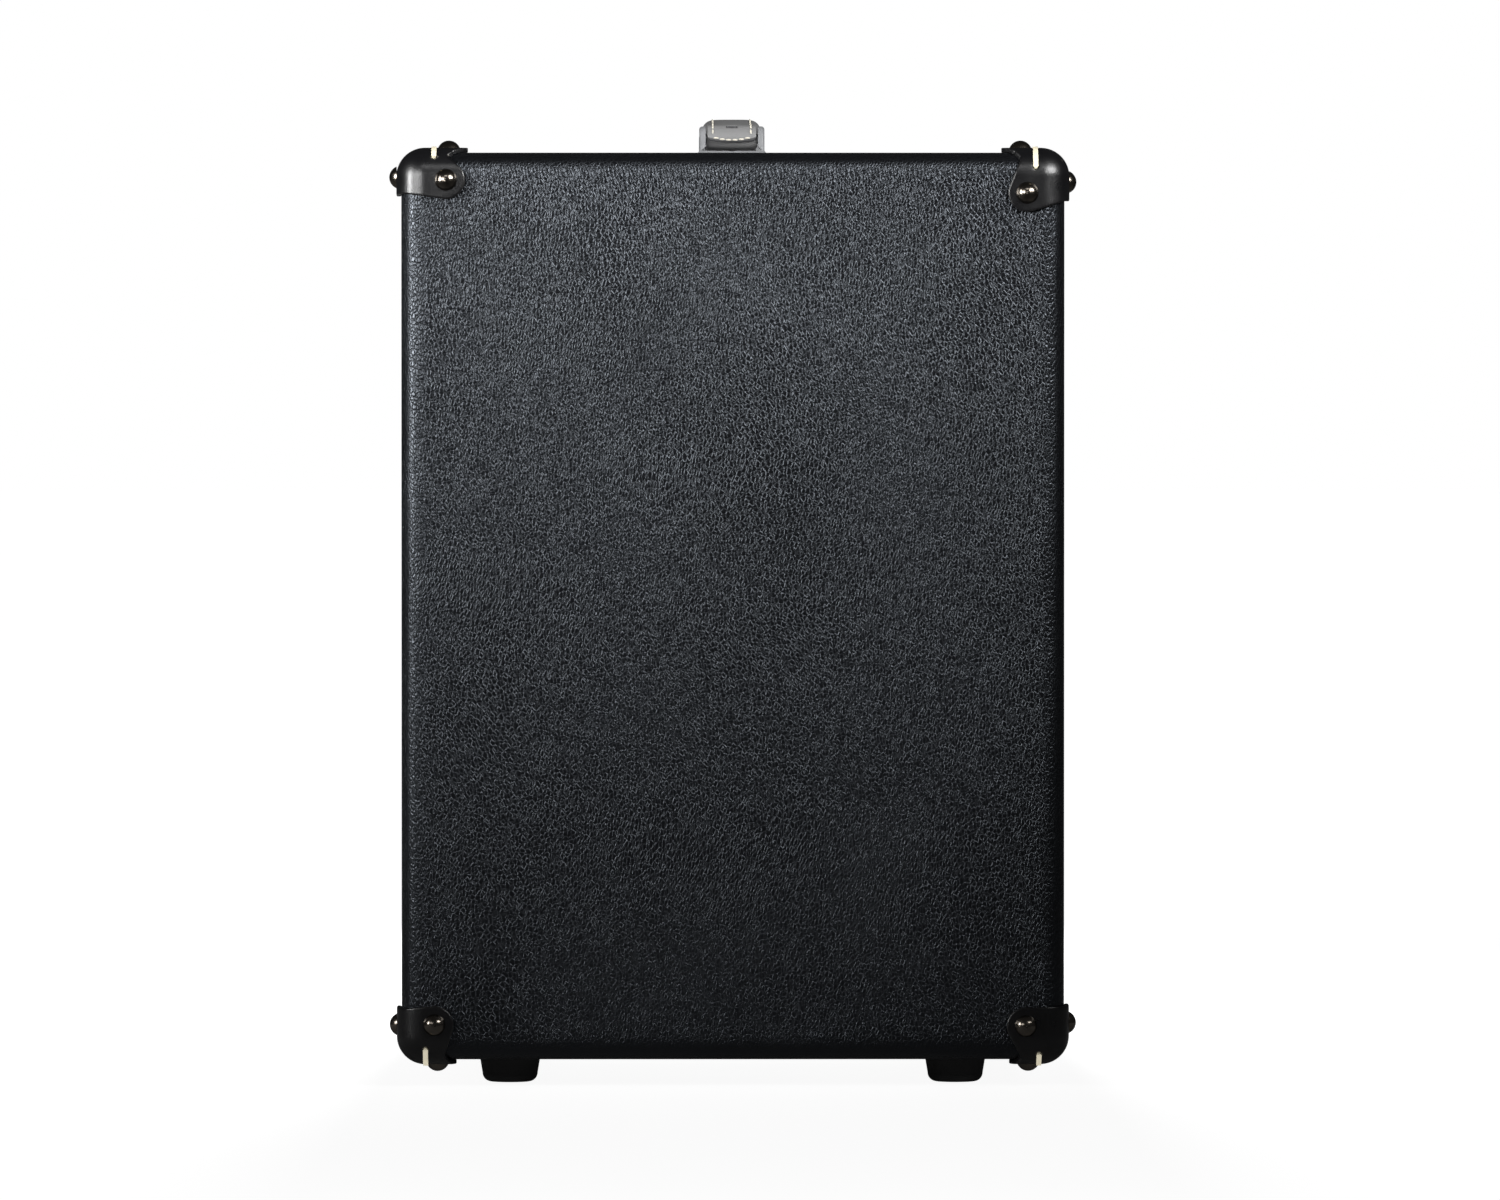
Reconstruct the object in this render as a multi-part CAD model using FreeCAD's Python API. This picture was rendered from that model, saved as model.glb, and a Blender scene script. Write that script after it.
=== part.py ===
"""A closed-back guitar speaker cabinet with one 12 inch speaker, in millimetres.

The cabinet stands on its feet at z = 0 with its grille towards -Y, its back towards +Y and
its width along X. Every piece is a separate solid, written to its own file.
"""
import FreeCAD, Part
import math
import os

from FreeCAD import Placement, Rotation, Vector

# Outside of the covered cabinet
cab_width = 560.0
cab_depth = 334.0
cab_height = 457.0
edge_radius = 12.0

# Finger-jointed plywood shell and its covering
panel_thickness = 18.0
finger_count = 13
lip_radius = 3.0
vinyl_thickness = 1.0

# Rails inside the front and back edges: width beyond the panels, and the seat of the back panel
front_rail_width = 21.0
back_rail_width = 15.0
back_seat_width = 16.0
back_seat_depth = 18.0

# Grille and baffle, counted back from the front edge
grille_setback = 9.0
grille_gap = 1.0
cloth_thickness = 0.8
cloth_turnover = 15.0
frame_thickness = 12.0
frame_bar = 28.0
frame_corner_radius = 15.0
pad_clearance = 0.3
pad_length = 45.0
pad_width = 11.0
baffle_thickness = 18.0

# Back panel, counted forward from the back edge
back_setback = 6.0
back_panel_thickness = 12.0
back_panel_gap = 1.0
cup_radius = 6.6
cup_height = 2.6
cup_shoulder = 1.8
cup_sheet = 0.8

# Wood screws that hold the baffle and the back panel to their rails
screw_radius = 2.0
screw_head_radius = 4.0
screw_head_height = 2.4
screw_bite = 12.0
screw_hole_clearance = 0.1
screws_per_row = 3
screws_per_column = 2
head_edge_share = 0.4

# Leather corners, their domed nails and their lacing
leather_thickness = 2.4
leather_seat = 0.1
lobe_radius = 9.6
lobe_centre = 17.0
lobe_reach = 25.0
seam_reach = 21.0
seam_angle = 62.0
seam_width = 0.7
seam_start = 9.0
nail_head_radius = 5.5
nail_head_height = 3.7
nail_shank_radius = 1.1
nail_shank_length = 15.0
nail_point_length = 2.3
nail_clearance = 0.05
lace_width = 2.6
lace_thickness = 0.9
lace_angle = 78.0
lace_leg_radius = 1.0
lace_hole_radius = 1.4

# Each corner is cut and nailed by hand. All sizes count from the front or back face, or from the
# top or bottom face: the nail on the side face from both, the nail on the front or back from the
# top or bottom, the nail on the top or bottom from the front or back, the reach of the leather down
# the upright edge, and the lace's place and its end on the side face
hand_cut = {
    ("front", "top"): {
        "nail": (22.7, 13.9), "end_nail": 12.4, "level_nail": 23.9,
        "reach": 20.5, "lace": 16.6, "lace_end": 2.0,
    },
    ("back", "top"): {
        "nail": (19.0, 20.4), "end_nail": 14.7, "level_nail": 22.1,
        "reach": 24.5, "lace": 14.8, "lace_end": 7.2,
    },
    ("front", "bottom"): {
        "nail": (16.7, 18.0), "end_nail": 17.4, "level_nail": 18.0,
        "reach": 26.0, "lace": 12.2, "lace_end": 5.6,
    },
    ("back", "bottom"): {
        "nail": (19.6, 17.4), "end_nail": 18.3, "level_nail": 18.0,
        "reach": 27.0, "lace": 12.9, "lace_end": 3.0,
    },
}

# Rubber feet
foot_height = 13.5
foot_inset = 54.0
foot_top_radius = 15.5
foot_base_radius = 14.0
foot_edge_radius = 4.5
foot_recess_radius = 6.0
foot_recess_depth = 8.0
foot_washer_thickness = 1.2
foot_screw_radius = 2.2
foot_screw_head_radius = 4.5
foot_screw_head_height = 3.0
foot_screw_bite = 14.0

# Strap handle on the top
pin_spacing = 216.0
pin_radius = 2.5
pin_height = 10.0
pin_clearance = 0.25
bracket_length = 40.0
bracket_width = 40.0
bracket_base = 3.6
bracket_flare = 3.2
ear_thickness = 3.3
ear_radius = 6.5
ear_foot = 20.0
ear_round = 1.6
ear_relief = 2.4
strap_width = 26.0
strap_side_gap = 0.55
leather_layer = 2.2
loop_length = 26.0
tongue_width = 25.4
tongue_end_angle = -17.0
tongue_corner_radius = 2.4
tongue_crown = 1.1
tongue_shoulder = 0.9
slot_width = 5.6
slot_length = 3.0
layer_gap = 0.05
grip_length = 124.0
grip_width = 32.0
grip_thickness = 13.0
grip_end_width = 28.5
grip_end_thickness = 9.5
grip_arch = 2.0
grip_roundness = 0.45
core_clearance = 0.1
handle_screw_offset = 13.0
handle_screw_radius = 2.2
handle_screw_head_radius = 4.2
handle_screw_bite = 15.0

# Loudspeaker frame, measured out from its axis and back from the baffle
flange_radius = 154.5
flange_width = 13.5
flange_overlap = 3.0
rim_depth = 22.0
rim_taper = 7.0
ledge_radius = 70.0
ledge_depth = 52.0
neck_radius = 59.0
floor_depth = 66.0
floor_hole_radius = 30.0
frame_sheet = 1.6
frame_side_sheet = 1.8
window_count = 6
window_angle = 40.0
window_margin = 8.0
gasket_thickness = 3.0
bolt_inset = 6.5
bolt_count = 8
bolt_radius = 2.5
bolt_head_radius = 4.8
bolt_head_height = 3.2
bolt_clearance = 0.3
thread_clearance = 0.05
tee_nut_radius = 9.0
tee_nut_flange = 1.4
tee_nut_barrel_radius = 3.4
tee_nut_barrel_length = 10.0
tee_nut_clearance = 0.1

# Loudspeaker magnet
gap_radius = 23.6
top_plate_radius = 55.0
top_plate_thickness = 7.0
magnet_radius = 78.0
magnet_hole_radius = 32.0
magnet_thickness = 20.0
back_plate_radius = 70.0
back_plate_thickness = 8.0
pole_radius = 21.4
pole_vent_radius = 5.0

# Loudspeaker cone and suspension
coil_radius = 22.0
former_sheet = 0.4
winding_thickness = 0.6
winding_length = 11.0
former_overrun = 6.0
surround_width = 10.0
cone_depth = 40.0
cone_sheet = 0.9
cone_bow = 4.0
surround_sheet = 0.6
surround_roll = 1.6
surround_glue = 0.05
surround_lap = 2.0
surround_landing = 7.25
dust_cap_radius = 34.0
dust_cap_rise = 10.0
dust_cap_sheet = 0.6
spider_sheet = 0.6
spider_roll = 1.5
spider_waves = 4
spider_collar = 3.0
spider_margin = 1.0
terminal_width = 28.0
terminal_length = 30.0
terminal_thickness = 2.4
lead_radius = 0.8
lead_spread = 16.0
lead_bend = 6.0
lead_landing = 88.0

# Recessed input plate and its jack
jack_height = 120.0
dish_width = 112.0
dish_height = 78.0
dish_corner_radius = 9.0
dish_mouth_width = 88.0
dish_mouth_height = 54.0
dish_floor_width = 76.0
dish_floor_height = 42.0
dish_depth = 16.0
dish_sheet = 1.2
dish_clearance = 0.8
dish_screw_inset = 7.0
dish_screw_bite = 9.6
jack_bore_radius = 3.25
jack_bushing_radius = 4.7
jack_bushing_reach = 7.0
jack_body_size = 18.0
jack_body_length = 22.0
jack_end_wall = 2.0
jack_hole_clearance = 0.15
jack_nut_flats = 12.7
jack_nut_thickness = 3.0
jack_nut_sides = 6
jack_washer_radius = 7.4
jack_washer_thickness = 0.8

# Speaker lead between the jack and the speaker
lug_width = 3.0
lug_length = 7.0
lug_thickness = 1.0
lug_spacing = 8.0
wire_radius = 1.4
wire_bend = 18.0
wire_drop_run = 30.0
wire_rise_run = 36.0
wire_seat = 0.05
staple_wall = 1.6
staple_length = 6.0
staple_leg_radius = 0.8
staple_leg_length = 10.0
staple_shares = (0.2, 0.8)

# How near to a plane an edge lies to be taken as one of its edges
edge_tolerance = 0.01

# Places worked out from the sizes above
half_width = cab_width / 2
half_depth = cab_depth / 2
cab_bottom = foot_height
cab_top = foot_height + cab_height
cab_middle = (cab_bottom + cab_top) / 2
opening_half = half_width - vinyl_thickness - panel_thickness
opening_bottom = cab_bottom + vinyl_thickness + panel_thickness
opening_top = cab_top - vinyl_thickness - panel_thickness
cloth_front = -half_depth + grille_setback
frame_front = cloth_front + cloth_thickness
frame_back = frame_front + frame_thickness
pad_thickness = tee_nut_flange + cloth_thickness + pad_clearance
baffle_front = frame_back + pad_thickness
baffle_back = baffle_front + baffle_thickness
back_panel_face = half_depth - back_setback
back_panel_outer = back_panel_face - vinyl_thickness
back_panel_inner = back_panel_outer - back_panel_thickness
back_panel_margin = back_rail_width + vinyl_thickness + back_panel_gap + vinyl_thickness
leather_outer = leather_seat + leather_thickness
pin_x = pin_spacing / 2
pin_z = cab_top + pin_height
loop_inner = pin_radius + pin_clearance
loop_outer = loop_inner + leather_layer
strap_top = pin_z + loop_outer
strap_bottom = strap_top - 2 * leather_layer
tongue_inner = loop_outer + layer_gap
tongue_outer = tongue_inner + leather_layer
ear_inner = strap_width / 2 + strap_side_gap
ear_outer = ear_inner + ear_thickness
grip_half = grip_length / 2
speaker_z = cab_middle
jack_z = cab_bottom + jack_height
dish_floor_back = back_panel_face - dish_depth
dish_floor_face = dish_floor_back + dish_sheet
baffle_hole_radius = flange_radius - flange_width
flange_inner_radius = baffle_hole_radius - flange_overlap
bolt_circle_radius = flange_radius - bolt_inset
rim_radius = flange_inner_radius - rim_taper
cone_radius = flange_inner_radius - surround_width
surround_edge = flange_inner_radius + surround_landing
former_radius = coil_radius + former_sheet
coil_outer = former_radius + winding_thickness
top_plate_front = floor_depth + frame_sheet
magnet_front = top_plate_front + top_plate_thickness
back_plate_front = magnet_front + magnet_thickness
surround_depth = gasket_thickness + surround_sheet
cone_front = surround_depth
cone_neck = cone_front + cone_depth

X = Vector(1, 0, 0)
Y = Vector(0, 1, 0)
Z = Vector(0, 0, 1)


def box(x0, x1, y0, y1, z0, z1):
    """A block between two corners."""
    return Part.makeBox(x1 - x0, y1 - y0, z1 - z0, Vector(x0, y0, z0))


def rod(radius, start, direction, length):
    """A round bar from a point along a direction."""
    return Part.makeCylinder(radius, length, start, direction)


def tube(inner, outer, start, direction, length):
    """A round bar with a round hole through it."""
    return rod(outer, start, direction, length).cut(rod(inner, start, direction, length))


def path(start, *legs):
    """A wire from start: a leg of one point is a straight run, one of two is an arc through both."""
    edges = []
    here = start
    for leg in legs:
        if len(leg) == 1:
            edges.append(Part.LineSegment(here, leg[0]).toShape())
        else:
            edges.append(Part.Arc(here, leg[0], leg[1]).toShape())
        here = leg[-1]
    return Part.Wire(edges)


def polygon(points):
    """A flat face inside straight runs."""
    return Part.Face(Part.makePolygon(points + points[:1]))


def aim(shape, point, direction):
    """Moves a shape made along +Z at the origin to a point, pointing along a direction."""
    moved = shape.copy()
    moved.Placement = Placement(point, Rotation(Z, direction))
    return moved


def one_solid(shape):
    """The single solid of a finished piece, with faces that belong together joined."""
    solids = shape.removeSplitter().Solids
    if len(solids) != 1:
        raise ValueError(f"expected one solid, found {len(solids)}")
    return solids[0]


def group(shapes):
    """Like pieces that share a node."""
    return Part.makeCompound([solid for shape in shapes for solid in shape.Solids])


def left_and_right(shape):
    """A shape and its mirror image on the other side of the cabinet."""
    return shape, shape.mirror(Vector(), X)


def rounded_rectangle(width, height, radius, place):
    """A closed wire of width by height, whose points place carries into space."""
    w = width / 2
    h = height / 2
    r = radius
    d = r * (1 - math.sqrt(0.5))
    return path(
        place(-w + r, -h),
        (place(w - r, -h),),
        (place(w - d, -h + d), place(w, -h + r)),
        (place(w, h - r),),
        (place(w - d, h - d), place(w - r, h)),
        (place(-w + r, h),),
        (place(-w + d, h - d), place(-w, h - r)),
        (place(-w, -h + r),),
        (place(-w + d, -h + d), place(-w + r, -h)),
    )


def perimeter_points(half, low, high):
    """Places of the screws along the four sides of a board, as (x, z)."""
    points = []
    for i in range(screws_per_row):
        x = half * (2 * i / (screws_per_row - 1) - 1) * (screws_per_row - 1) / screws_per_row
        points += [(x, low), (x, high)]
    for i in range(screws_per_column):
        z = low + (high - low) * (i + 1) / (screws_per_column + 1)
        points += [(-half, z), (half, z)]
    return points


def cap_middle(base, rise):
    """The point half way up the side of a round cap, out from its axis and above its base."""
    radius = (base * base + rise * rise) / (2 * rise)
    half = math.asin(min(1.0, base / radius)) / 2
    return radius * math.sin(half), rise - radius + radius * math.cos(half)


def pan_screw(head_radius, head_height, shank_radius, shank_length):
    """A screw with a domed head above the origin and its shank below."""
    edge = head_height * head_edge_share
    bulge = cap_middle(head_radius, head_height - edge)
    profile = path(
        Vector(0, 0, -shank_length),
        (Vector(shank_radius, 0, -shank_length),),
        (Vector(shank_radius, 0, 0),),
        (Vector(head_radius, 0, 0),),
        (Vector(head_radius, 0, edge),),
        (Vector(bulge[0], 0, edge + bulge[1]), Vector(0, 0, head_height)),
        (Vector(0, 0, -shank_length),),
    )
    return Part.Face(profile).revolve(Vector(), Z, 360)


def countersunk_screw(head_radius, shank_radius, length):
    """A flat-headed screw whose head is level with the origin."""
    taper = head_radius - shank_radius
    points = [
        Vector(0, 0, 0),
        Vector(head_radius, 0, 0),
        Vector(shank_radius, 0, -taper),
        Vector(shank_radius, 0, -length),
        Vector(0, 0, -length),
    ]
    return polygon(points).revolve(Vector(), Z, 360)


def cab_block(grow):
    """The cabinet's outer form moved outwards by grow, with all its edges rounded."""
    block = box(
        -half_width - grow, half_width + grow,
        -half_depth - grow, half_depth + grow,
        cab_bottom - grow, cab_top + grow,
    )
    return block.makeFillet(edge_radius + grow, block.Edges).Solids[0]


def opening_box(inset, y0, y1):
    """A block as large as the inside of the shell, drawn in by inset, between two depths."""
    return box(
        -opening_half + inset, opening_half - inset, y0, y1,
        opening_bottom + inset, opening_top - inset,
    )


def framed_shell(grow):
    """The shell with its front and back rails in place, and the edges of both mouths eased."""
    lining = vinyl_thickness + grow
    mouths = (
        opening_box(front_rail_width + lining, -cab_depth, baffle_front),
        opening_box(back_rail_width + lining, back_panel_inner, cab_depth),
    )
    form = cab_block(grow)
    form = form.cut([opening_box(0, baffle_front, back_panel_inner), *mouths])
    reach = half_depth + grow
    mouth_edges = []
    for edge in form.Edges:
        spot = edge.BoundBox
        flat = spot.YLength < edge_tolerance and abs(abs(spot.Center.y) - reach) < edge_tolerance
        if flat and abs(spot.Center.x) < opening_half and opening_bottom < spot.Center.z < opening_top:
            mouth_edges.append(edge)
    return form.makeFillet(lip_radius + lining, mouth_edges).Solids[0]


def finger_boxes(owner):
    """Blocks at the shell's four long corners that belong to the sides or to the top and bottom."""
    length = cab_depth / finger_count
    blocks = []
    for k in range(finger_count):
        if (k % 2 == 0) != (owner == "side"):
            continue
        y0 = -half_depth + k * length
        for x0, x1 in ((-cab_width, -opening_half), (opening_half, cab_width)):
            blocks.append(box(x0, x1, y0, y0 + length, -cab_height, opening_bottom))
            blocks.append(box(x0, x1, y0, y0 + length, opening_top, 2 * cab_height))
    return blocks


def shell_panels(holes):
    """Top, bottom and two sides, finger-jointed at the corners and drilled for their fixings."""
    sleeve = cab_block(-vinyl_thickness).cut(opening_box(0, -cab_depth, cab_depth))
    wide = cab_width
    tall = 2 * cab_height
    side_fingers = finger_boxes("side")
    level_fingers = finger_boxes("level")
    regions = {
        "top_panel": (box(-wide, wide, -wide, wide, opening_top, tall), side_fingers),
        "bottom_panel": (box(-wide, wide, -wide, wide, -tall, opening_bottom), side_fingers),
        "left_side_panel": (box(-wide, -opening_half, -wide, wide, -tall, tall), level_fingers),
        "right_side_panel": (box(opening_half, wide, -wide, wide, -tall, tall), level_fingers),
    }
    panels = {}
    for name, (region, other_fingers) in regions.items():
        panels[name] = one_solid(sleeve.common(region.cut(other_fingers)).cut(holes))
    return panels


def vinyl_covering(holes):
    """The covering: over the outside, round the edges and in as far as the baffle and the back."""
    return one_solid(framed_shell(0).cut(framed_shell(-vinyl_thickness)).cut(holes))


def four_rails(frame, width):
    """A frame parted into top, bottom and two side rails that stand between them."""
    h = opening_half
    low = opening_bottom + width
    high = opening_top - width
    deep = cab_depth
    return [
        one_solid(frame.common(box(-h, h, -deep, deep, high, opening_top))),
        one_solid(frame.common(box(-h, h, -deep, deep, opening_bottom, low))),
        one_solid(frame.common(box(-h, 0, -deep, deep, low, high))),
        one_solid(frame.common(box(0, h, -deep, deep, low, high))),
    ]


def rails(nail_holes, baffle_screw_holes, back_screw_holes):
    """The front rails that the baffle is drawn to, and the rabbeted back rails."""
    form = framed_shell(-vinyl_thickness)
    front = form.common(opening_box(0, -cab_depth, baffle_front))
    back = form.common(opening_box(0, back_panel_inner, cab_depth))
    seat_front = back_panel_inner - back_seat_depth
    seat_reach = back_rail_width + back_seat_width
    seat = opening_box(0, seat_front, back_panel_inner)
    back = back.fuse(seat.cut(opening_box(seat_reach, seat_front, back_panel_inner)))
    return {
        "front_rails": group(four_rails(front.cut(nail_holes + baffle_screw_holes), front_rail_width)),
        "back_rails": group(four_rails(back.cut(nail_holes + back_screw_holes), seat_reach)),
    }


def tangent_point(outside, centre, radius, turn):
    """Where a line from a point touches a circle, on the side that turn (+1 or -1) gives."""
    across = outside[0] - centre[0]
    along = outside[1] - centre[1]
    angle = math.atan2(along, across) + turn * math.acos(radius / math.hypot(across, along))
    return centre[0] + radius * math.cos(angle), centre[1] + radius * math.sin(angle)


def lobe(centre, reach_p, reach_q, place, throw):
    """A corner's lobe on one face, counted in from the two edges, cut through by throw."""
    margin = edge_radius
    touch_p = tangent_point((reach_p, 0), centre, lobe_radius, 1)
    touch_q = tangent_point((0, reach_q), centre, lobe_radius, -1)
    tip = lobe_radius * math.sqrt(0.5)
    outline = path(
        place(-margin, -margin),
        (place(reach_p, -margin),),
        (place(reach_p, 0),),
        (place(*touch_p),),
        (place(centre[0] + tip, centre[1] + tip), place(*touch_q)),
        (place(0, reach_q),),
        (place(-margin, reach_q),),
        (place(-margin, -margin),),
    )
    return Part.Face(outline).extrude(throw)


def nail():
    """A domed upholstery nail with its head above the origin."""
    bulge = cap_middle(nail_head_radius, nail_head_height)
    profile = path(
        Vector(0, 0, -nail_shank_length),
        (Vector(nail_shank_radius, 0, nail_point_length - nail_shank_length),),
        (Vector(nail_shank_radius, 0, 0),),
        (Vector(nail_head_radius, 0, 0),),
        (Vector(bulge[0], 0, bulge[1]), Vector(0, 0, nail_head_height)),
        (Vector(0, 0, -nail_shank_length),),
    )
    return Part.Face(profile).revolve(Vector(), Z, 360)


def lace_rod(radius, angle, y, start):
    """A rod square to the round-over of a corner's leather, from start to within the lace."""
    out = X * math.cos(angle) + Z * math.sin(angle)
    axis = Vector(half_width - edge_radius, y, cab_top - edge_radius)
    end = edge_radius + leather_outer + nail_clearance + lace_thickness / 2
    return rod(radius, axis + out * start, out, end - start)


def corner_set(cut, shell, lace_shell):
    """One leather corner at the right-hand back top corner, its nails, nail holes and lace."""
    depth = edge_radius
    out = edge_radius + leather_outer
    side = lobe(
        cut["nail"], seam_reach, cut["reach"],
        lambda p, q: Vector(half_width - depth, half_depth - p, cab_top - q), X * out,
    )
    end = lobe(
        (lobe_centre, cut["end_nail"]), lobe_reach, cut["reach"],
        lambda p, q: Vector(half_width - p, half_depth - depth, cab_top - q), Y * out,
    )
    level = lobe(
        (cut["level_nail"], lobe_centre), seam_reach, lobe_reach,
        lambda p, q: Vector(half_width - q, half_depth - p, cab_top - depth), Z * out,
    )
    leather = shell.common(side.fuse([end, level]))

    seam = box(0, 2 * out, -lobe_reach * 2, -seam_start, -seam_width / 2, seam_width / 2)
    seam.rotate(Vector(), Y, -seam_angle)
    seam.translate(Vector(half_width - edge_radius, half_depth, cab_top - edge_radius))

    seats = [
        (Vector(half_width + leather_outer, half_depth - cut["nail"][0], cab_top - cut["nail"][1]), X),
        (Vector(half_width - lobe_centre, half_depth + leather_outer, cab_top - cut["end_nail"]), Y),
        (Vector(half_width - lobe_centre, half_depth - cut["level_nail"], cab_top + leather_outer), Z),
    ]
    nails = []
    holes = []
    for point, direction in seats:
        nails.append(aim(nail(), point, direction))
        start = point - direction * (nail_shank_length + nail_clearance)
        holes.append(
            rod(nail_shank_radius + nail_clearance, start, direction, nail_shank_length * 2)
        )

    lace_y = half_depth - cut["lace"]
    far_end = math.radians(lace_angle)
    near_end = math.asin((edge_radius - cut["lace_end"]) / out)
    band = lace_shell.common(
        box(
            half_width - edge_radius + out * math.cos(far_end), 2 * half_width,
            lace_y - lace_width / 2, lace_y + lace_width / 2,
            cab_top - cut["lace_end"], 2 * cab_top,
        )
    )
    under = edge_radius + leather_seat
    legs = [lace_rod(lace_leg_radius, end, lace_y, under) for end in (near_end, far_end)]
    punched = [lace_rod(lace_hole_radius, end, lace_y, edge_radius) for end in (near_end, far_end)]
    leather = one_solid(leather.cut([seam] + holes + punched))
    return leather, nails, holes, one_solid(band.fuse(legs))


def leather_corners():
    """All eight corners by name, with their nails, the nails' holes and the lacing."""
    shell = cab_block(leather_outer).cut(cab_block(leather_seat))
    lace_base = leather_outer + nail_clearance
    lace_shell = cab_block(lace_base + lace_thickness).cut(cab_block(lace_base))
    centre = Vector(0, 0, cab_middle)
    corners = {}
    nails = []
    holes = []
    laces = []
    for (face, level), cut in hand_cut.items():
        leather, set_nails, set_holes, lace = corner_set(cut, shell, lace_shell)
        for side in ("right", "left"):
            turns = []
            if side == "left":
                turns.append(X)
            if face == "front":
                turns.append(Y)
            if level == "bottom":
                turns.append(Z)

            def carried(shape):
                for normal in turns:
                    shape = shape.mirror(centre, normal)
                return shape.Solids[0]

            corners[f"leather_corner_{face}_{level}_{side}"] = carried(leather)
            nails += [carried(shape) for shape in set_nails]
            holes += [carried(shape) for shape in set_holes]
            laces.append(carried(lace))
    return corners, nails, holes, laces


def foot_places():
    """Centres of the four feet, by name."""
    x = half_width - foot_inset
    y = half_depth - foot_inset
    return {
        "front_left": (-x, -y),
        "front_right": (x, -y),
        "back_left": (-x, y),
        "back_right": (x, y),
    }


def foot_body():
    """A tapered rubber foot with a rounded base, a recess and a screw hole."""
    ease = foot_edge_radius * math.sqrt(0.5)
    hole = foot_screw_radius + screw_hole_clearance
    profile = path(
        Vector(foot_recess_radius, 0, 0),
        (Vector(foot_base_radius - foot_edge_radius, 0, 0),),
        (
            Vector(foot_base_radius - foot_edge_radius + ease, 0, foot_edge_radius - ease),
            Vector(foot_base_radius, 0, foot_edge_radius),
        ),
        (Vector(foot_top_radius, 0, foot_height),),
        (Vector(hole, 0, foot_height),),
        (Vector(hole, 0, foot_recess_depth),),
        (Vector(foot_recess_radius, 0, foot_recess_depth),),
        (Vector(foot_recess_radius, 0, 0),),
    )
    return Part.Face(profile).revolve(Vector(), Z, 360).Solids[0]


def feet():
    """Four feet, their screws and washers, and the screws' holes in the cabinet."""
    pieces = {}
    fixings = []
    holes = []
    screw_seat = foot_recess_depth - foot_washer_thickness
    reach = foot_height - screw_seat + vinyl_thickness + foot_screw_bite
    screw = pan_screw(foot_screw_head_radius, foot_screw_head_height, foot_screw_radius, reach)
    washer_hole = foot_screw_radius + screw_hole_clearance
    washer = tube(
        washer_hole, foot_recess_radius - screw_hole_clearance, Vector(0, 0, screw_seat), Z,
        foot_washer_thickness,
    )
    for name, (x, y) in foot_places().items():
        spot = Vector(x, y, 0)
        body = foot_body()
        body.translate(spot)
        pieces[f"rubber_foot_{name}"] = body
        ring = washer.copy()
        ring.translate(spot)
        fixings += [aim(screw, Vector(x, y, screw_seat), -Z), ring]
        holes.append(rod(washer_hole, spot, Z, screw_seat + reach + screw_hole_clearance))
    pieces["foot_screws_and_washers"] = group(fixings)
    return pieces, holes


def handle_bracket():
    """The right-hand bracket: a flared base with two ears that carry the pin."""

    def base_outline(shrink, z):
        return Part.makePolygon(
            [
                Vector(pin_x + sx * (bracket_length / 2 - shrink), sy * (bracket_width / 2 - shrink), z)
                for sx, sy in ((-1, -1), (1, -1), (1, 1), (-1, 1), (-1, -1))
            ]
        )

    base = Part.makeLoft(
        [base_outline(0, cab_top), base_outline(bracket_flare, cab_top + bracket_base)], True, True
    )
    floor = cab_top + bracket_base
    foot = ear_foot / 2
    touch = tangent_point((foot, bracket_base), (0, pin_height), ear_radius, 1)
    ear_outline = path(
        Vector(pin_x - foot, ear_inner, floor),
        (Vector(pin_x + foot, ear_inner, floor),),
        (Vector(pin_x + touch[0], ear_inner, cab_top + touch[1]),),
        (
            Vector(pin_x, ear_inner, pin_z + ear_radius),
            Vector(pin_x - touch[0], ear_inner, cab_top + touch[1]),
        ),
        (Vector(pin_x - foot, ear_inner, floor),),
    )
    ear = Part.Face(ear_outline).extrude(Y * ear_thickness)
    outer_edges = [edge for edge in ear.Edges if edge.BoundBox.YMin > ear_outer - edge_tolerance]
    crest = pin_z + ear_radius - edge_tolerance
    crown = [edge for edge in outer_edges if edge.BoundBox.ZMax > crest]
    ear = ear.makeFillet(ear_round, crown)
    relief = polygon(
        [
            Vector(pin_x - bracket_length, ear_inner, floor),
            Vector(pin_x - bracket_length, ear_inner + ear_relief, floor),
            Vector(pin_x - bracket_length, ear_inner, floor + ear_relief),
        ]
    ).extrude(X * 2 * bracket_length)
    ear = ear.cut(relief)
    bracket = base.fuse([ear, ear.mirror(Vector(), Y)])
    cuts = [rod(pin_radius, Vector(pin_x, -bracket_width, pin_z), Y, 2 * bracket_width)]
    taper = handle_screw_head_radius - handle_screw_radius
    for x in handle_screw_places():
        top = Vector(x, 0, floor)
        hole = handle_screw_radius + screw_hole_clearance
        cuts.append(rod(hole, top, -Z, bracket_base))
        cuts.append(Part.makeCone(hole + taper, hole, taper, top, -Z))
    return one_solid(bracket.cut(cuts))


def handle_screw_places():
    """Where the two screws of the right-hand bracket stand along the cabinet."""
    return pin_x - handle_screw_offset, pin_x + handle_screw_offset


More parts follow.
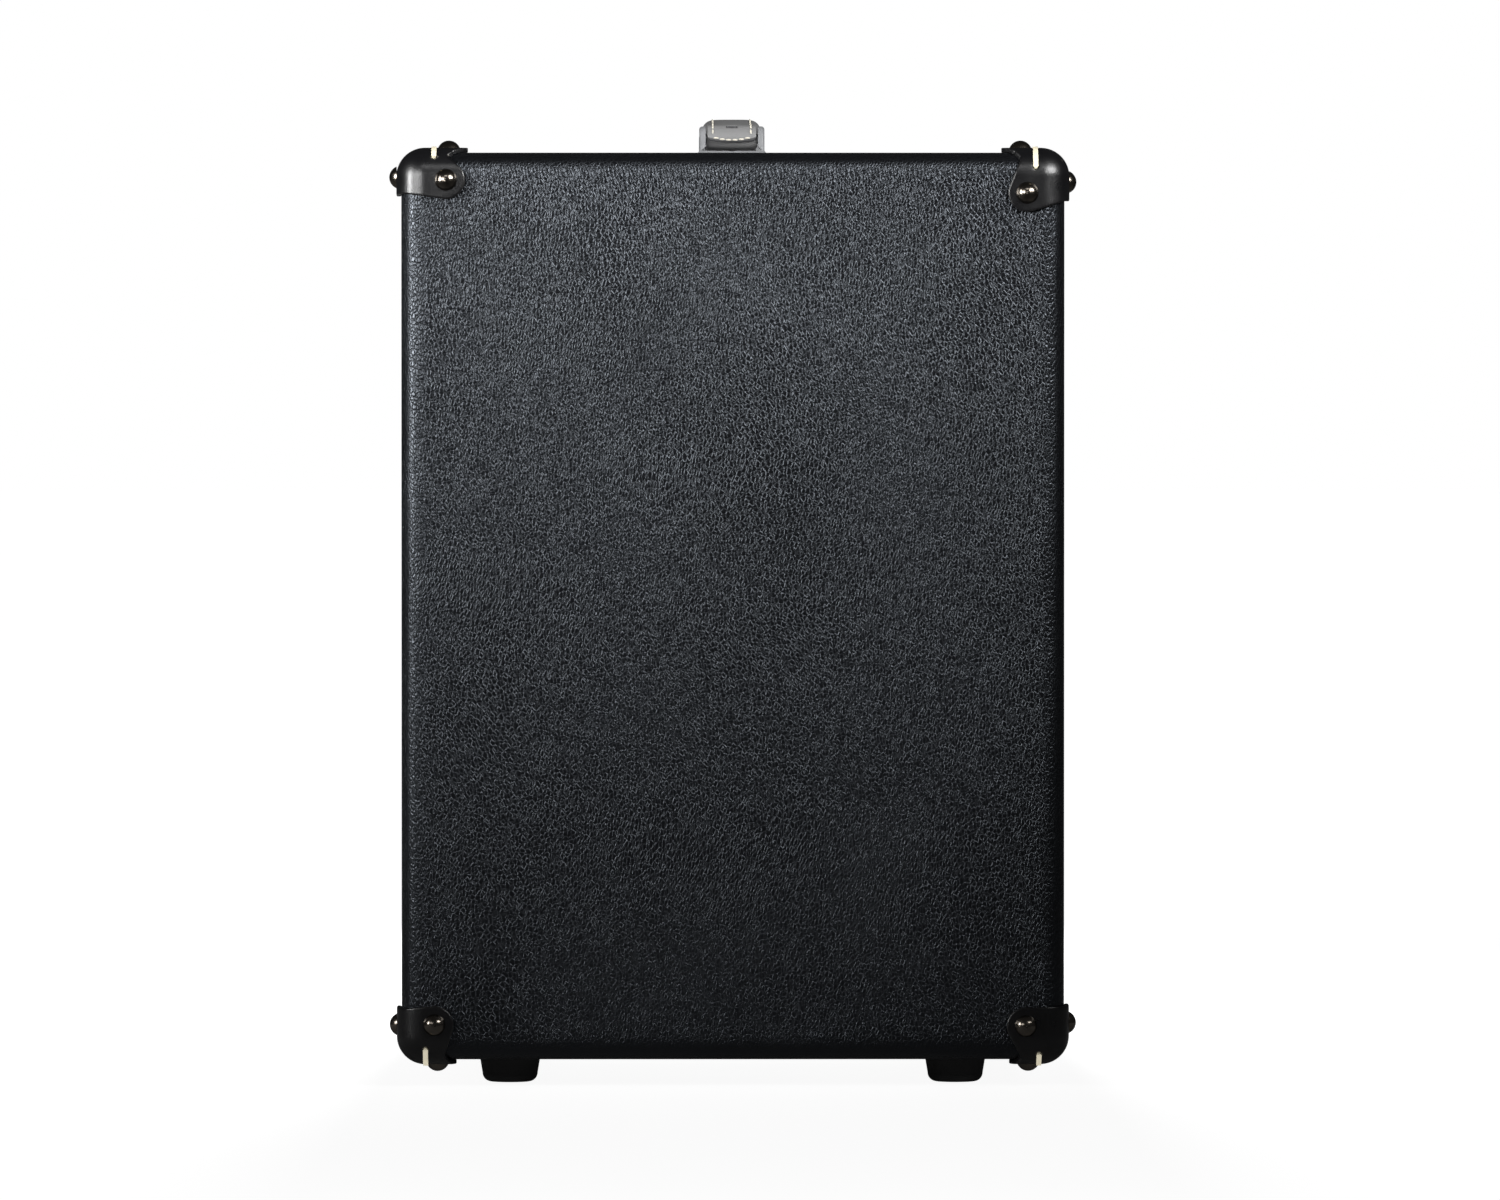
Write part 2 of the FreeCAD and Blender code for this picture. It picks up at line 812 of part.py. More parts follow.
def strap_end():
    """The right-hand strap end: its loop round the pin and the stitched tongue over it."""
    half = strap_width / 2
    run_end = pin_x - loop_length
    rise = math.atan2(strap_bottom - (pin_z - loop_outer), loop_length)
    under = -math.pi / 2 - rise
    loop_outline = path(
        Vector(grip_half, -half, strap_top),
        (Vector(pin_x, -half, strap_top),),
        (
            Vector(pin_x + loop_outer, -half, pin_z),
            Vector(pin_x + loop_outer * math.cos(under), -half, pin_z + loop_outer * math.sin(under)),
        ),
        (Vector(run_end, -half, strap_bottom),),
        (Vector(grip_half, -half, strap_bottom),),
        (Vector(grip_half, -half, strap_top),),
    )
    loop = Part.Face(loop_outline).extrude(Y * strap_width)
    loop = loop.cut(rod(loop_inner, Vector(pin_x, -half, pin_z), Y, strap_width))

    side = tongue_width / 2
    end = math.radians(tongue_end_angle)
    middle = (end + math.pi / 2) / 2

    def bend(radius, angle):
        return Vector(pin_x + radius * math.cos(angle), -side, pin_z + radius * math.sin(angle))

    tongue_outline = path(
        Vector(grip_half, -side, pin_z + tongue_inner),
        (bend(tongue_inner, math.pi / 2),),
        (bend(tongue_inner, middle), bend(tongue_inner, end)),
        (bend(tongue_outer, end),),
        (bend(tongue_outer, middle), bend(tongue_outer, math.pi / 2)),
        (Vector(grip_half, -side, pin_z + tongue_outer),),
        (Vector(grip_half, -side, pin_z + tongue_inner),),
    )
    tongue = Part.Face(tongue_outline).extrude(Y * tongue_width)
    low = pin_z + tongue_outer * math.sin(end)
    high = strap_top + 2 * leather_layer
    r = tongue_corner_radius
    d = r * (1 - math.sqrt(0.5))
    end_outline = path(
        Vector(0, -side, high),
        (Vector(0, -side, low + tongue_crown + r),),
        (
            Vector(0, -side + d, low + tongue_crown + d),
            Vector(0, -side + r, low + tongue_shoulder),
        ),
        (Vector(0, 0, low), Vector(0, side - r, low + tongue_shoulder)),
        (
            Vector(0, side - d, low + tongue_crown + d),
            Vector(0, side, low + tongue_crown + r),
        ),
        (Vector(0, side, high),),
        (Vector(0, -side, high),),
    )
    tongue = tongue.common(Part.Face(end_outline).extrude(X * 2 * pin_x))
    slot = box(
        pin_x + leather_layer / 2, pin_x + leather_layer / 2 + slot_length,
        -slot_width / 2, slot_width / 2, pin_z, high,
    )
    return [one_solid(loop), one_solid(tongue.cut(slot))]


def handle_grip(core):
    """The padded leather grip, arched and swelling in the middle, round its core."""
    centre = (strap_top + leather_layer + strap_bottom) / 2
    sections = []
    for step in (-1.0, -0.5, 0.0, 0.5, 1.0):
        swell = 1 - step * step
        width = grip_end_width + (grip_width - grip_end_width) * swell
        thickness = grip_end_thickness + (grip_thickness - grip_end_thickness) * swell
        z = centre + grip_arch * swell
        sections.append(
            rounded_rectangle(
                width, thickness, thickness * grip_roundness,
                lambda p, q, x=step * grip_half, z=z: Vector(x, p, z + q),
            )
        )
    return one_solid(Part.makeLoft(sections, True, False).cut(core))


def handle():
    """Brackets, pins, strap ends, core, grip and screws, and the screws' holes in the top."""
    bracket_right, bracket_left = left_and_right(handle_bracket())
    pin = rod(pin_radius, Vector(pin_x, -ear_outer, pin_z), Y, 2 * ear_outer)
    straps = [left_and_right(shape) for shape in strap_end()]
    half = strap_width / 2
    c = core_clearance
    core = box(-grip_half, grip_half, -half, half, strap_bottom, strap_top)
    hollow = box(-cab_width, cab_width, -half - c, half + c, strap_bottom - c, strap_top + c)
    floor = cab_top + bracket_base
    length = bracket_base + vinyl_thickness + handle_screw_bite
    screw = countersunk_screw(handle_screw_head_radius, handle_screw_radius, length)
    screws = []
    holes = []
    for x in handle_screw_places():
        for side in (1, -1):
            spot = Vector(side * x, 0, floor)
            screws.append(aim(screw, spot, Z))
            hole = handle_screw_radius + screw_hole_clearance
            holes.append(rod(hole, spot, -Z, length + screw_hole_clearance))
    pieces = {
        "handle_bracket_right": bracket_right.Solids[0],
        "handle_bracket_left": bracket_left.Solids[0],
        "handle_pins": group(left_and_right(pin)),
        "handle_strap_right": group([pair[0] for pair in straps]),
        "handle_strap_left": group([pair[1] for pair in straps]),
        "handle_core": core,
        "handle_grip": handle_grip(hollow),
        "handle_screws": group(screws),
    }
    return pieces, holes


def grille():
    """The cloth-covered frame that lies on the baffle, and its hook-and-loop pads."""
    inset = front_rail_width + vinyl_thickness + grille_gap + cloth_thickness
    half = opening_half - inset
    low = opening_bottom + inset
    high = opening_top - inset
    board = box(-half, half, frame_front, frame_back, low, high)
    window = Part.Face(
        rounded_rectangle(
            2 * (half - frame_bar), high - low - 2 * frame_bar, frame_corner_radius,
            lambda p, q: Vector(p, frame_front, (low + high) / 2 + q),
        )
    ).extrude(Y * frame_thickness)
    c = cloth_thickness
    wrap = box(-half - c, half + c, cloth_front, frame_back + c, low - c, high + c)
    fold = cloth_turnover
    hole = box(-half + fold, half - fold, frame_back, baffle_back, low + fold, high - fold)
    pads = []
    pad_x = half - fold - pad_length
    for x in (-pad_x, pad_x):
        for z in (low + (fold + frame_bar) / 2, high - (fold + frame_bar) / 2):
            pads.append(
                box(
                    x - pad_length / 2, x + pad_length / 2, frame_back, baffle_front,
                    z - pad_width / 2, z + pad_width / 2,
                )
            )
    return {
        "grille_frame": one_solid(board.cut(window)),
        "grille_cloth": one_solid(wrap.cut([board, hole])),
        "grille_hook_pads": group(pads),
    }


def baffle_screw_places():
    """Where the baffle's screws enter it from behind, over the middle of the front rails."""
    inset = front_rail_width / 2
    points = perimeter_points(opening_half - inset, opening_bottom + inset, opening_top - inset)
    return [Vector(x, baffle_back, z) for x, z in points]


def baffle_screw_holes():
    """The holes of the baffle's screws."""
    hole = screw_radius + screw_hole_clearance
    length = baffle_thickness + screw_bite + screw_hole_clearance
    return [rod(hole, seat, -Y, length) for seat in baffle_screw_places()]


def baffle():
    """The baffle with its speaker hole, and the screws that draw it to the front rails."""
    board = opening_box(0, baffle_front, baffle_back)
    cuts = [rod(baffle_hole_radius, Vector(0, baffle_front, speaker_z), Y, baffle_thickness)]
    nut_hole = tee_nut_barrel_radius + tee_nut_clearance
    for point in bolt_places(baffle_front):
        cuts.append(rod(nut_hole, point, Y, baffle_thickness))
    length = baffle_thickness + screw_bite
    screw = pan_screw(screw_head_radius, screw_head_height, screw_radius, length)
    return {
        "baffle_board": one_solid(board.cut(cuts + baffle_screw_holes())),
        "baffle_screws": group([aim(screw, seat, Y) for seat in baffle_screw_places()]),
    }


def back_screw_places():
    """Where the back panel's screws stand on its face, over the middle of the rails' seat."""
    inset = back_rail_width + back_seat_width / 2
    points = perimeter_points(opening_half - inset, opening_bottom + inset, opening_top - inset)
    return [Vector(x, back_panel_face, z) for x, z in points]


def back_screw_length():
    """How far a back panel screw reaches below the panel's face."""
    return vinyl_thickness + back_panel_thickness + screw_bite


def back_screw_holes():
    """The holes of the back panel's screws."""
    hole = screw_radius + screw_hole_clearance
    length = back_screw_length() + screw_hole_clearance
    return [rod(hole, seat, -Y, length) for seat in back_screw_places()]


def cup_washer():
    """A turned cup washer that takes a countersunk head, standing on the origin."""
    hole = screw_radius + screw_hole_clearance
    mouth = hole + screw_head_radius - screw_radius
    rim = mouth + cup_sheet
    profile = path(
        Vector(mouth, 0, cup_height),
        (Vector(rim, 0, cup_height),),
        (Vector((cup_radius + rim) / 2 + cup_sheet / 2, 0, cup_shoulder), Vector(cup_radius, 0, 0)),
        (Vector(hole, 0, 0),),
        (Vector(hole, 0, cup_height - mouth + hole),),
        (Vector(mouth, 0, cup_height),),
    )
    return Part.Face(profile).revolve(Vector(), Z, 360)


def back_panel():
    """The covered back panel in its rabbet, with its screws and cup washers."""
    v = vinyl_thickness
    board = opening_box(back_panel_margin, back_panel_inner, back_panel_outer)
    cover = opening_box(back_panel_margin - v, back_panel_inner, back_panel_face)
    cutout = Part.Face(
        rounded_rectangle(
            dish_mouth_width + 2 * (dish_sheet + dish_clearance),
            dish_mouth_height + 2 * (dish_sheet + dish_clearance),
            dish_corner_radius,
            lambda p, q: Vector(p, back_panel_inner, jack_z + q),
        )
    ).extrude(Y * (back_panel_thickness + v))
    screw = countersunk_screw(screw_head_radius, screw_radius, back_screw_length() + cup_height)
    holes = back_screw_holes() + dish_screw_holes()
    seats = back_screw_places()
    return {
        "back_panel": one_solid(board.cut([cutout] + holes)),
        "back_panel_vinyl": one_solid(cover.cut([board, cutout] + holes)),
        "back_panel_screws": group([aim(screw, seat + Y * cup_height, Y) for seat in seats]),
        "back_panel_cup_washers": group([aim(cup_washer(), seat, Y) for seat in seats]),
    }


def dish_screw_places():
    """Where the four screws of the input plate stand, on its outer face."""
    x = dish_width / 2 - dish_screw_inset
    z = dish_height / 2 - dish_screw_inset
    y = back_panel_face + dish_sheet
    return [Vector(sx * x, y, jack_z + sz * z) for sx in (-1, 1) for sz in (-1, 1)]


def dish_screw_length():
    """How far an input plate screw reaches below its head."""
    return dish_sheet + vinyl_thickness + dish_screw_bite


def dish_screw_holes():
    """The holes of the input plate's screws."""
    hole = screw_radius + screw_hole_clearance
    length = dish_screw_length() + screw_hole_clearance
    return [rod(hole, point, -Y, length) for point in dish_screw_places()]


def input_plate():
    """The recessed steel plate, its screws, the jack, and the jack's nut and washer."""

    def outline(width, height, y):
        return rounded_rectangle(
            width, height, dish_corner_radius, lambda p, q: Vector(p, y, jack_z + q)
        )

    s = dish_sheet
    flange = Part.Face(outline(dish_width, dish_height, back_panel_face)).extrude(Y * s)
    cup = Part.makeLoft(
        [
            outline(dish_mouth_width + 2 * s, dish_mouth_height + 2 * s, back_panel_face + s),
            outline(dish_floor_width + 2 * s, dish_floor_height + 2 * s, dish_floor_back),
        ],
        True, True,
    )
    hollow = Part.makeLoft(
        [
            outline(dish_mouth_width, dish_mouth_height, back_panel_face + s),
            outline(dish_floor_width, dish_floor_height, dish_floor_face),
        ],
        True, True,
    )
    axis = Vector(0, dish_floor_back, jack_z)
    jack_hole = rod(jack_bushing_radius + jack_hole_clearance, axis, Y, dish_sheet)
    plate = flange.fuse(cup).cut([hollow, jack_hole] + dish_screw_holes())
    screw = pan_screw(screw_head_radius, screw_head_height, screw_radius, dish_screw_length())

    b = jack_body_size / 2
    back = dish_floor_back - jack_body_length
    body = box(-b, b, back, dish_floor_back, jack_z - b, jack_z + b)
    tip = dish_floor_face + jack_bushing_reach
    bushing = rod(jack_bushing_radius, axis, Y, tip - dish_floor_back)
    bore_end = Vector(0, back + jack_end_wall, jack_z)
    bore = rod(jack_bore_radius, bore_end, Y, cab_depth)
    lugs = [lug(x, back - lug_length, jack_z) for x in lug_places()]

    inner = jack_bushing_radius + jack_hole_clearance
    floor = Vector(0, dish_floor_face, jack_z)
    washer = tube(inner, jack_washer_radius, floor, Y, jack_washer_thickness)
    corner = jack_nut_flats / math.sqrt(3)
    nut_y = dish_floor_face + jack_washer_thickness
    hexagon = []
    for k in range(jack_nut_sides):
        angle = 2 * math.pi * k / jack_nut_sides
        hexagon.append(Vector(corner * math.cos(angle), nut_y, jack_z + corner * math.sin(angle)))
    nut = polygon(hexagon).extrude(Y * jack_nut_thickness)
    nut = nut.cut(rod(inner, Vector(0, nut_y, jack_z), Y, jack_nut_thickness))
    return {
        "jack_plate": one_solid(plate),
        "jack_plate_screws": group([aim(screw, point, Y) for point in dish_screw_places()]),
        "input_jack": group([one_solid(body.fuse(bushing).cut(bore))] + lugs),
        "jack_nut_and_washer": group([nut, washer]),
    }


def lug_places():
    """The two lugs' places across the cabinet, the same on the jack and on the speaker."""
    return -lug_spacing / 2, lug_spacing / 2


def lug(x, y, z):
    """A flat solder lug that lies along Y."""
    w = lug_width / 2
    t = lug_thickness / 2
    return box(x - w, x + w, y, y + lug_length, z - t, z + t)


def speaker_point(radius, depth):
    """A point of the speaker's turned profiles: out from its axis and back from the baffle."""
    return Vector(radius, baffle_back + depth, speaker_z)


def turned(wire):
    """A closed profile turned about the speaker's axis."""
    return one_solid(Part.Face(wire).revolve(Vector(0, 0, speaker_z), Y, 360))


def turned_ring(inner, outer, front, back):
    """A flat ring about the speaker's axis."""
    return tube(inner, outer, Vector(0, baffle_back + front, speaker_z), Y, back - front)


def bolt_places(y):
    """Centres of the speaker's bolts at one depth."""
    places = []
    for k in range(bolt_count):
        angle = 2 * math.pi * (k + 0.5) / bolt_count
        x = bolt_circle_radius * math.cos(angle)
        places.append(Vector(x, y, speaker_z + bolt_circle_radius * math.sin(angle)))
    return places


def waved(start_radius, end_radius, depth, roll, count, sheet):
    """Front and back runs of a rolled sheet: legs outward along the front, then inward behind."""
    step = (end_radius - start_radius) / count
    out = []
    back = []
    for k in range(count):
        side = roll if k % 2 else -roll
        r0 = start_radius + k * step
        out.append((speaker_point(r0 + step / 2, depth + side), speaker_point(r0 + step, depth)))
        back.append((speaker_point(r0 + step / 2, depth + side + sheet), speaker_point(r0, depth + sheet)))
    return out, back[::-1]


def speaker_frame():
    """The pressed steel frame: flange, rim, six legs, spider ledge and floor."""
    s = frame_sheet
    g = gasket_thickness
    lip = surround_edge
    step = surround_sheet + surround_glue
    slope = frame_side_sheet
    wire = path(
        speaker_point(flange_radius, g),
        (speaker_point(lip, g),),
        (speaker_point(lip, g + step),),
        (speaker_point(flange_inner_radius, g + step),),
        (speaker_point(rim_radius, rim_depth),),
        (speaker_point(ledge_radius, ledge_depth),),
        (speaker_point(neck_radius, ledge_depth),),
        (speaker_point(neck_radius, floor_depth),),
        (speaker_point(floor_hole_radius, floor_depth),),
        (speaker_point(floor_hole_radius, floor_depth + s),),
        (speaker_point(neck_radius + s, floor_depth + s),),
        (speaker_point(neck_radius + s, ledge_depth + s),),
        (speaker_point(ledge_radius + s / 2, ledge_depth + slope),),
        (speaker_point(rim_radius + s, rim_depth + slope),),
        (speaker_point(flange_inner_radius + s, g + step + s),),
        (speaker_point(flange_radius, g + step + s),),
        (speaker_point(flange_radius, g),),
    )
    frame = turned(wire)
    cuts = []
    window_inner = ledge_radius + window_margin
    window_outer = rim_radius - window_margin
    start = baffle_back + rim_depth - window_margin / 2
    for k in range(window_count):
        middle = 2 * math.pi * k / window_count - math.pi / 2
        spread = math.radians(window_angle) / 2

        def around(radius, turn, middle=middle, spread=spread):
            angle = middle + turn * spread
            return Vector(radius * math.cos(angle), start, speaker_z + radius * math.sin(angle))

        outline = path(
            around(window_inner, -1),
            (around(window_outer, -1),),
            (around(window_outer, 0), around(window_outer, 1)),
            (around(window_inner, 1),),
            (around(window_inner, 0), around(window_inner, -1)),
        )
        cuts.append(Part.Face(outline).extrude(Y * (ledge_depth - rim_depth + window_margin)))
    for point in bolt_places(baffle_back):
        cuts.append(rod(bolt_radius + bolt_clearance, point, Y, rim_depth))
    return one_solid(frame.cut(cuts))


def speaker_motor():
    """Top plate, ring magnet, and back plate with its vented pole."""
    top = turned_ring(gap_radius, top_plate_radius, top_plate_front, magnet_front)
    magnet = turned_ring(magnet_hole_radius, magnet_radius, magnet_front, back_plate_front)
    plate_back = back_plate_front + back_plate_thickness
    pole = turned(
        path(
            speaker_point(pole_vent_radius, top_plate_front),
            (speaker_point(pole_radius, top_plate_front),),
            (speaker_point(pole_radius, back_plate_front),),
            (speaker_point(back_plate_radius, back_plate_front),),
            (speaker_point(back_plate_radius, plate_back),),
            (speaker_point(pole_vent_radius, plate_back),),
            (speaker_point(pole_vent_radius, top_plate_front),),
        )
    )
    return {
        "speaker_top_plate": top,
        "speaker_magnet": magnet,
        "speaker_back_plate": pole,
    }


def cone_depth_at(radius):
    """Depth of the cone's front face at a radius, along its gently bowed side."""
    share = (cone_radius - radius) / (cone_radius - former_radius)
    bow = 4 * cone_bow * share * (1 - share)
    return cone_front + cone_depth * share + bow


def speaker_moving_parts():
    """Cone, dust cap, former and winding, which travel together."""
    middle = (cone_radius + former_radius) / 2
    c = cone_sheet
    cone = turned(
        path(
            speaker_point(cone_radius, cone_front),
            (speaker_point(middle, cone_depth_at(middle)), speaker_point(former_radius, cone_neck)),
            (speaker_point(former_radius, cone_neck + c),),
            (speaker_point(middle, cone_depth_at(middle) + c), speaker_point(cone_radius, cone_front + c)),
            (speaker_point(cone_radius, cone_front),),
        )
    )
    rim = cone_depth_at(dust_cap_radius) - dust_cap_sheet
    inner = dust_cap_radius - dust_cap_sheet
    bulge = cap_middle(dust_cap_radius, dust_cap_rise)
    hollow = cap_middle(inner, dust_cap_rise - dust_cap_sheet)
    cap = turned(
        path(
            speaker_point(0, rim - dust_cap_rise),
            (speaker_point(bulge[0], rim - bulge[1]), speaker_point(dust_cap_radius, rim)),
            (speaker_point(inner, rim),),
            (
                speaker_point(hollow[0], rim - hollow[1]),
                speaker_point(0, rim - dust_cap_rise + dust_cap_sheet),
            ),
            (speaker_point(0, rim - dust_cap_rise),),
        )
    )
    coil_middle = (top_plate_front + magnet_front) / 2
    coil_front = coil_middle - winding_length / 2
    coil_back = coil_middle + winding_length / 2
    former = turned_ring(coil_radius, former_radius, cone_neck - former_overrun / 2, coil_back)
    return {
        "speaker_cone": cone,
        "speaker_dust_cap": cap,
        "voice_coil_former": former,
        "voice_coil_winding": turned_ring(former_radius, coil_outer, coil_front, coil_back),
    }


def speaker_suspension():
    """The rolled surround, the waved spider and the front gasket."""
    g = gasket_thickness
    s = surround_sheet
    lip = surround_edge - surround_glue
    inner = cone_radius - surround_lap
    out, back = waved(cone_radius + surround_glue, flange_inner_radius, g, surround_roll, 2, s)
    surround = turned(
        path(
            speaker_point(inner, g),
            (speaker_point(cone_radius + surround_glue, g),),
            *out,
            (speaker_point(lip, g),),
            (speaker_point(lip, g + s),),
            (speaker_point(flange_inner_radius, g + s),),
            *back,
            (speaker_point(inner, g + s),),
            (speaker_point(inner, g),),
        )
    )
    t = spider_sheet
    depth = ledge_depth - t
    start = former_radius + surround_glue
    collar = start + spider_collar
    edge = ledge_radius - spider_margin
    out, back = waved(collar, neck_radius, depth, spider_roll, spider_waves, t)
    spider = turned(
        path(
            speaker_point(start, depth),
            (speaker_point(collar, depth),),
            *out,
            (speaker_point(edge, depth),),
            (speaker_point(edge, depth + t),),
            (speaker_point(neck_radius, depth + t),),
            *back,
            (speaker_point(start, depth + t),),
            (speaker_point(start, depth),),
        )
    )
    gasket = turned_ring(baffle_hole_radius, flange_radius, 0, g)
    for point in bolt_places(baffle_back):
        gasket = gasket.cut(rod(bolt_radius + bolt_clearance, point, Y, g))
    return {
        "speaker_surround": surround,
        "speaker_spider": spider,
        "speaker_gasket": gasket,
    }


def speaker_bolts():
    """Bolts from behind the flange and the tee nuts that they draw into the baffle's front."""
    flange_back = gasket_thickness + surround_sheet + surround_glue + frame_sheet
    length = flange_back + baffle_thickness - tee_nut_flange
    bolt = pan_screw(bolt_head_radius, bolt_head_height, bolt_radius, length)
    bore = bolt_radius + thread_clearance
    bolts = []
    nuts = []
    for point in bolt_places(baffle_front):
        bolts.append(aim(bolt, point + Y * (baffle_thickness + flange_back), Y))
        disc = rod(tee_nut_radius, point - Y * tee_nut_flange, Y, tee_nut_flange)
        barrel = rod(tee_nut_barrel_radius, point, Y, tee_nut_barrel_length)
        hole = rod(bore, point - Y * tee_nut_flange, Y, baffle_thickness)
        nuts.append(one_solid(disc.fuse(barrel).cut(hole)))
    return {"speaker_bolts": group(bolts), "speaker_tee_nuts": group(nuts)}


def terminal_place():
    """Back of the flange below the speaker's axis, where the terminal strip stands."""
    depth = gasket_thickness + surround_sheet + surround_glue + frame_sheet
    radius = (bolt_circle_radius + flange_inner_radius) / 2
    return baffle_back + depth, speaker_z - radius


def speaker_terminals():
    """The terminal strip with its two lugs, and the braided leads to the cone."""
    y, z = terminal_place()
    w = terminal_width / 2
    strip = box(-w, w, y, y + terminal_length, z, z + terminal_thickness)
    middle = z + terminal_thickness / 2
    lugs = [lug(x, y + terminal_length, middle) for x in lug_places()]
    leads = []
    lead_y = y + terminal_length - 2 * lead_radius
    bend = lead_bend
    arc = bend * (1 - math.sqrt(0.5))
    for x in (-lead_spread / 2, lead_spread / 2):
        top = speaker_z - lead_landing
        landing = baffle_back + cone_depth_at(math.hypot(lead_landing, x) - lead_radius) + cone_sheet
        wire = path(
            Vector(x, lead_y, z + terminal_thickness),
            (Vector(x, lead_y, top - bend),),
            (Vector(x, lead_y - arc, top - arc), Vector(x, lead_y - bend, top)),
            (Vector(x, landing + 2 * surround_glue, top),),
        )
        section = Part.Wire(Part.makeCircle(lead_radius, Vector(x, lead_y, z + terminal_thickness), Z))
        leads.append(wire.makePipeShell([section], True, False))
    return {
        "speaker_terminal_strip": group([strip] + lugs),
        "speaker_braided_leads": group(leads),
    }


def speaker_lead():
    """Two wires from the jack down to the bottom panel, forward along it and up to the speaker."""
    start_y = dish_floor_back - jack_body_length - lug_length
    strip_y, strip_z = terminal_place()
    end_y = strip_y + terminal_length + lug_length
    end_z = strip_z + terminal_thickness / 2
    floor_z = opening_bottom + wire_radius + wire_seat
    drop_y = start_y - wire_drop_run
    rise_y = end_y + wire_rise_run
    b = wire_bend
    a = b * (1 - math.sqrt(0.5))
    wires = []
    for x in lug_places():

        def at(y, z, x=x):
            return Vector(x, y, z)

        wire = path(
            at(start_y, jack_z),
            (at(drop_y + b, jack_z),),
            (at(drop_y + a, jack_z - a), at(drop_y, jack_z - b)),
            (at(drop_y, floor_z + b),),
            (at(drop_y - a, floor_z + a), at(drop_y - b, floor_z)),
            (at(rise_y + b, floor_z),),
            (at(rise_y + a, floor_z + a), at(rise_y, floor_z + b)),
            (at(rise_y, end_z - b),),
            (at(rise_y - a, end_z - a), at(rise_y - b, end_z)),
            (at(end_y, end_z),),
        )
        section = Part.Wire(Part.makeCircle(wire_radius, at(start_y, jack_z), Y))
        wires.append(wire.makePipeShell([section], True, False))

    run_start = rise_y + b
    run_length = drop_y - rise_y - 2 * b
    half = lug_spacing / 2 + wire_radius + wire_seat
    outer = half + staple_wall
    low = opening_bottom
    inside = low + 2 * (wire_radius + wire_seat)
    staples = []
    holes = []
    for share in staple_shares:
        y = run_start + share * run_length
        y0 = y - staple_length / 2
        y1 = y + staple_length / 2
        saddle = box(-outer, outer, y0, y1, low, inside + staple_wall)
        saddle = saddle.cut(box(-half, half, y0, y1, low, inside))
        for x in (-outer + staple_wall / 2, outer - staple_wall / 2):
            foot = Vector(x, y, low)
            saddle = saddle.fuse(rod(staple_leg_radius, foot, -Z, staple_leg_length))
            deep = staple_leg_length + nail_clearance
            holes.append(rod(staple_leg_radius + nail_clearance, foot, -Z, deep))
        staples.append(one_solid(saddle))
    return {"speaker_lead": group(wires), "lead_staples": group(staples)}, holes


def cabinet():
    """Every piece of the cabinet, by name."""
    corners, nails, nail_holes, laces = leather_corners()
    foot_pieces, foot_holes = feet()
    handle_pieces, handle_holes = handle()
    lead_pieces, staple_holes = speaker_lead()
    outer_holes = nail_holes + foot_holes + handle_holes
    pieces = {}
    pieces.update(shell_panels(outer_holes + staple_holes))
    pieces.update(rails(nail_holes, baffle_screw_holes(), back_screw_holes()))
    pieces["vinyl_covering"] = vinyl_covering(outer_holes)
    pieces.update(baffle())
    pieces.update(back_panel())
    pieces.update(grille())
    pieces.update(corners)
    pieces["corner_nails"] = group(nails)
    pieces["corner_lacing"] = group(laces)
    pieces.update(foot_pieces)
    pieces.update(handle_pieces)
    pieces["speaker_frame"] = speaker_frame()
    pieces.update(speaker_motor())
    pieces.update(speaker_moving_parts())
    pieces.update(speaker_suspension())
    pieces.update(speaker_bolts())
    pieces.update(speaker_terminals())
    pieces.update(input_plate())
    pieces.update(lead_pieces)
    return pieces


os.makedirs("parts", exist_ok=True)
for node, shape in cabinet().items():
    shape.exportStep(f"parts/{node}.step")
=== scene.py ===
"""Dresses the construction of a guitar speaker cabinet: its finishes, leatherwork, cloth and stage.

The file is laid out as an add-on. Every length is in metres, in the construction's own frame: the
cabinet stands on z = 0, its grille faces -Y, and the side that the photograph shows faces +X.
"""
import math

import bpy
from bpy.props import FloatProperty, FloatVectorProperty, PointerProperty
from mathutils import Matrix, Vector


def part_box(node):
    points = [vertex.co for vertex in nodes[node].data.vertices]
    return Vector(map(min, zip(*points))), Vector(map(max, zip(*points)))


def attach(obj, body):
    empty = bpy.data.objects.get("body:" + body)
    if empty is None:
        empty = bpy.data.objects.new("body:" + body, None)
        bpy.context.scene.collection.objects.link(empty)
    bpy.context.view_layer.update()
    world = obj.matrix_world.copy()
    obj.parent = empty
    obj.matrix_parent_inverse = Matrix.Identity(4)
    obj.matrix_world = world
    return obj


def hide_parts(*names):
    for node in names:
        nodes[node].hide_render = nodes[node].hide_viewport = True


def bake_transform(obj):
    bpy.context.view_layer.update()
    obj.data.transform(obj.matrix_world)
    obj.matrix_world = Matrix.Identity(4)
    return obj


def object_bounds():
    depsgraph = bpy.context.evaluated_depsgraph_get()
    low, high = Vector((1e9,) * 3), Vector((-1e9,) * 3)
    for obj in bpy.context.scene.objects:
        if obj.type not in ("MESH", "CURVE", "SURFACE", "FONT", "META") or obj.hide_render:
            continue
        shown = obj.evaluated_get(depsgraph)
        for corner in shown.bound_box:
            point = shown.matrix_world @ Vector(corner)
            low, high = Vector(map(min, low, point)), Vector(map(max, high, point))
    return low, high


bl_info = {
    "name": "Guitar speaker cabinet",
    "version": (1, 0, 0),
    "blender": (4, 5, 0),
    "location": "View3D > Sidebar > Cabinet",
    "description": "Finishes, leatherwork, cloth and stage of a guitar speaker cabinet",
    "category": "Object",
}

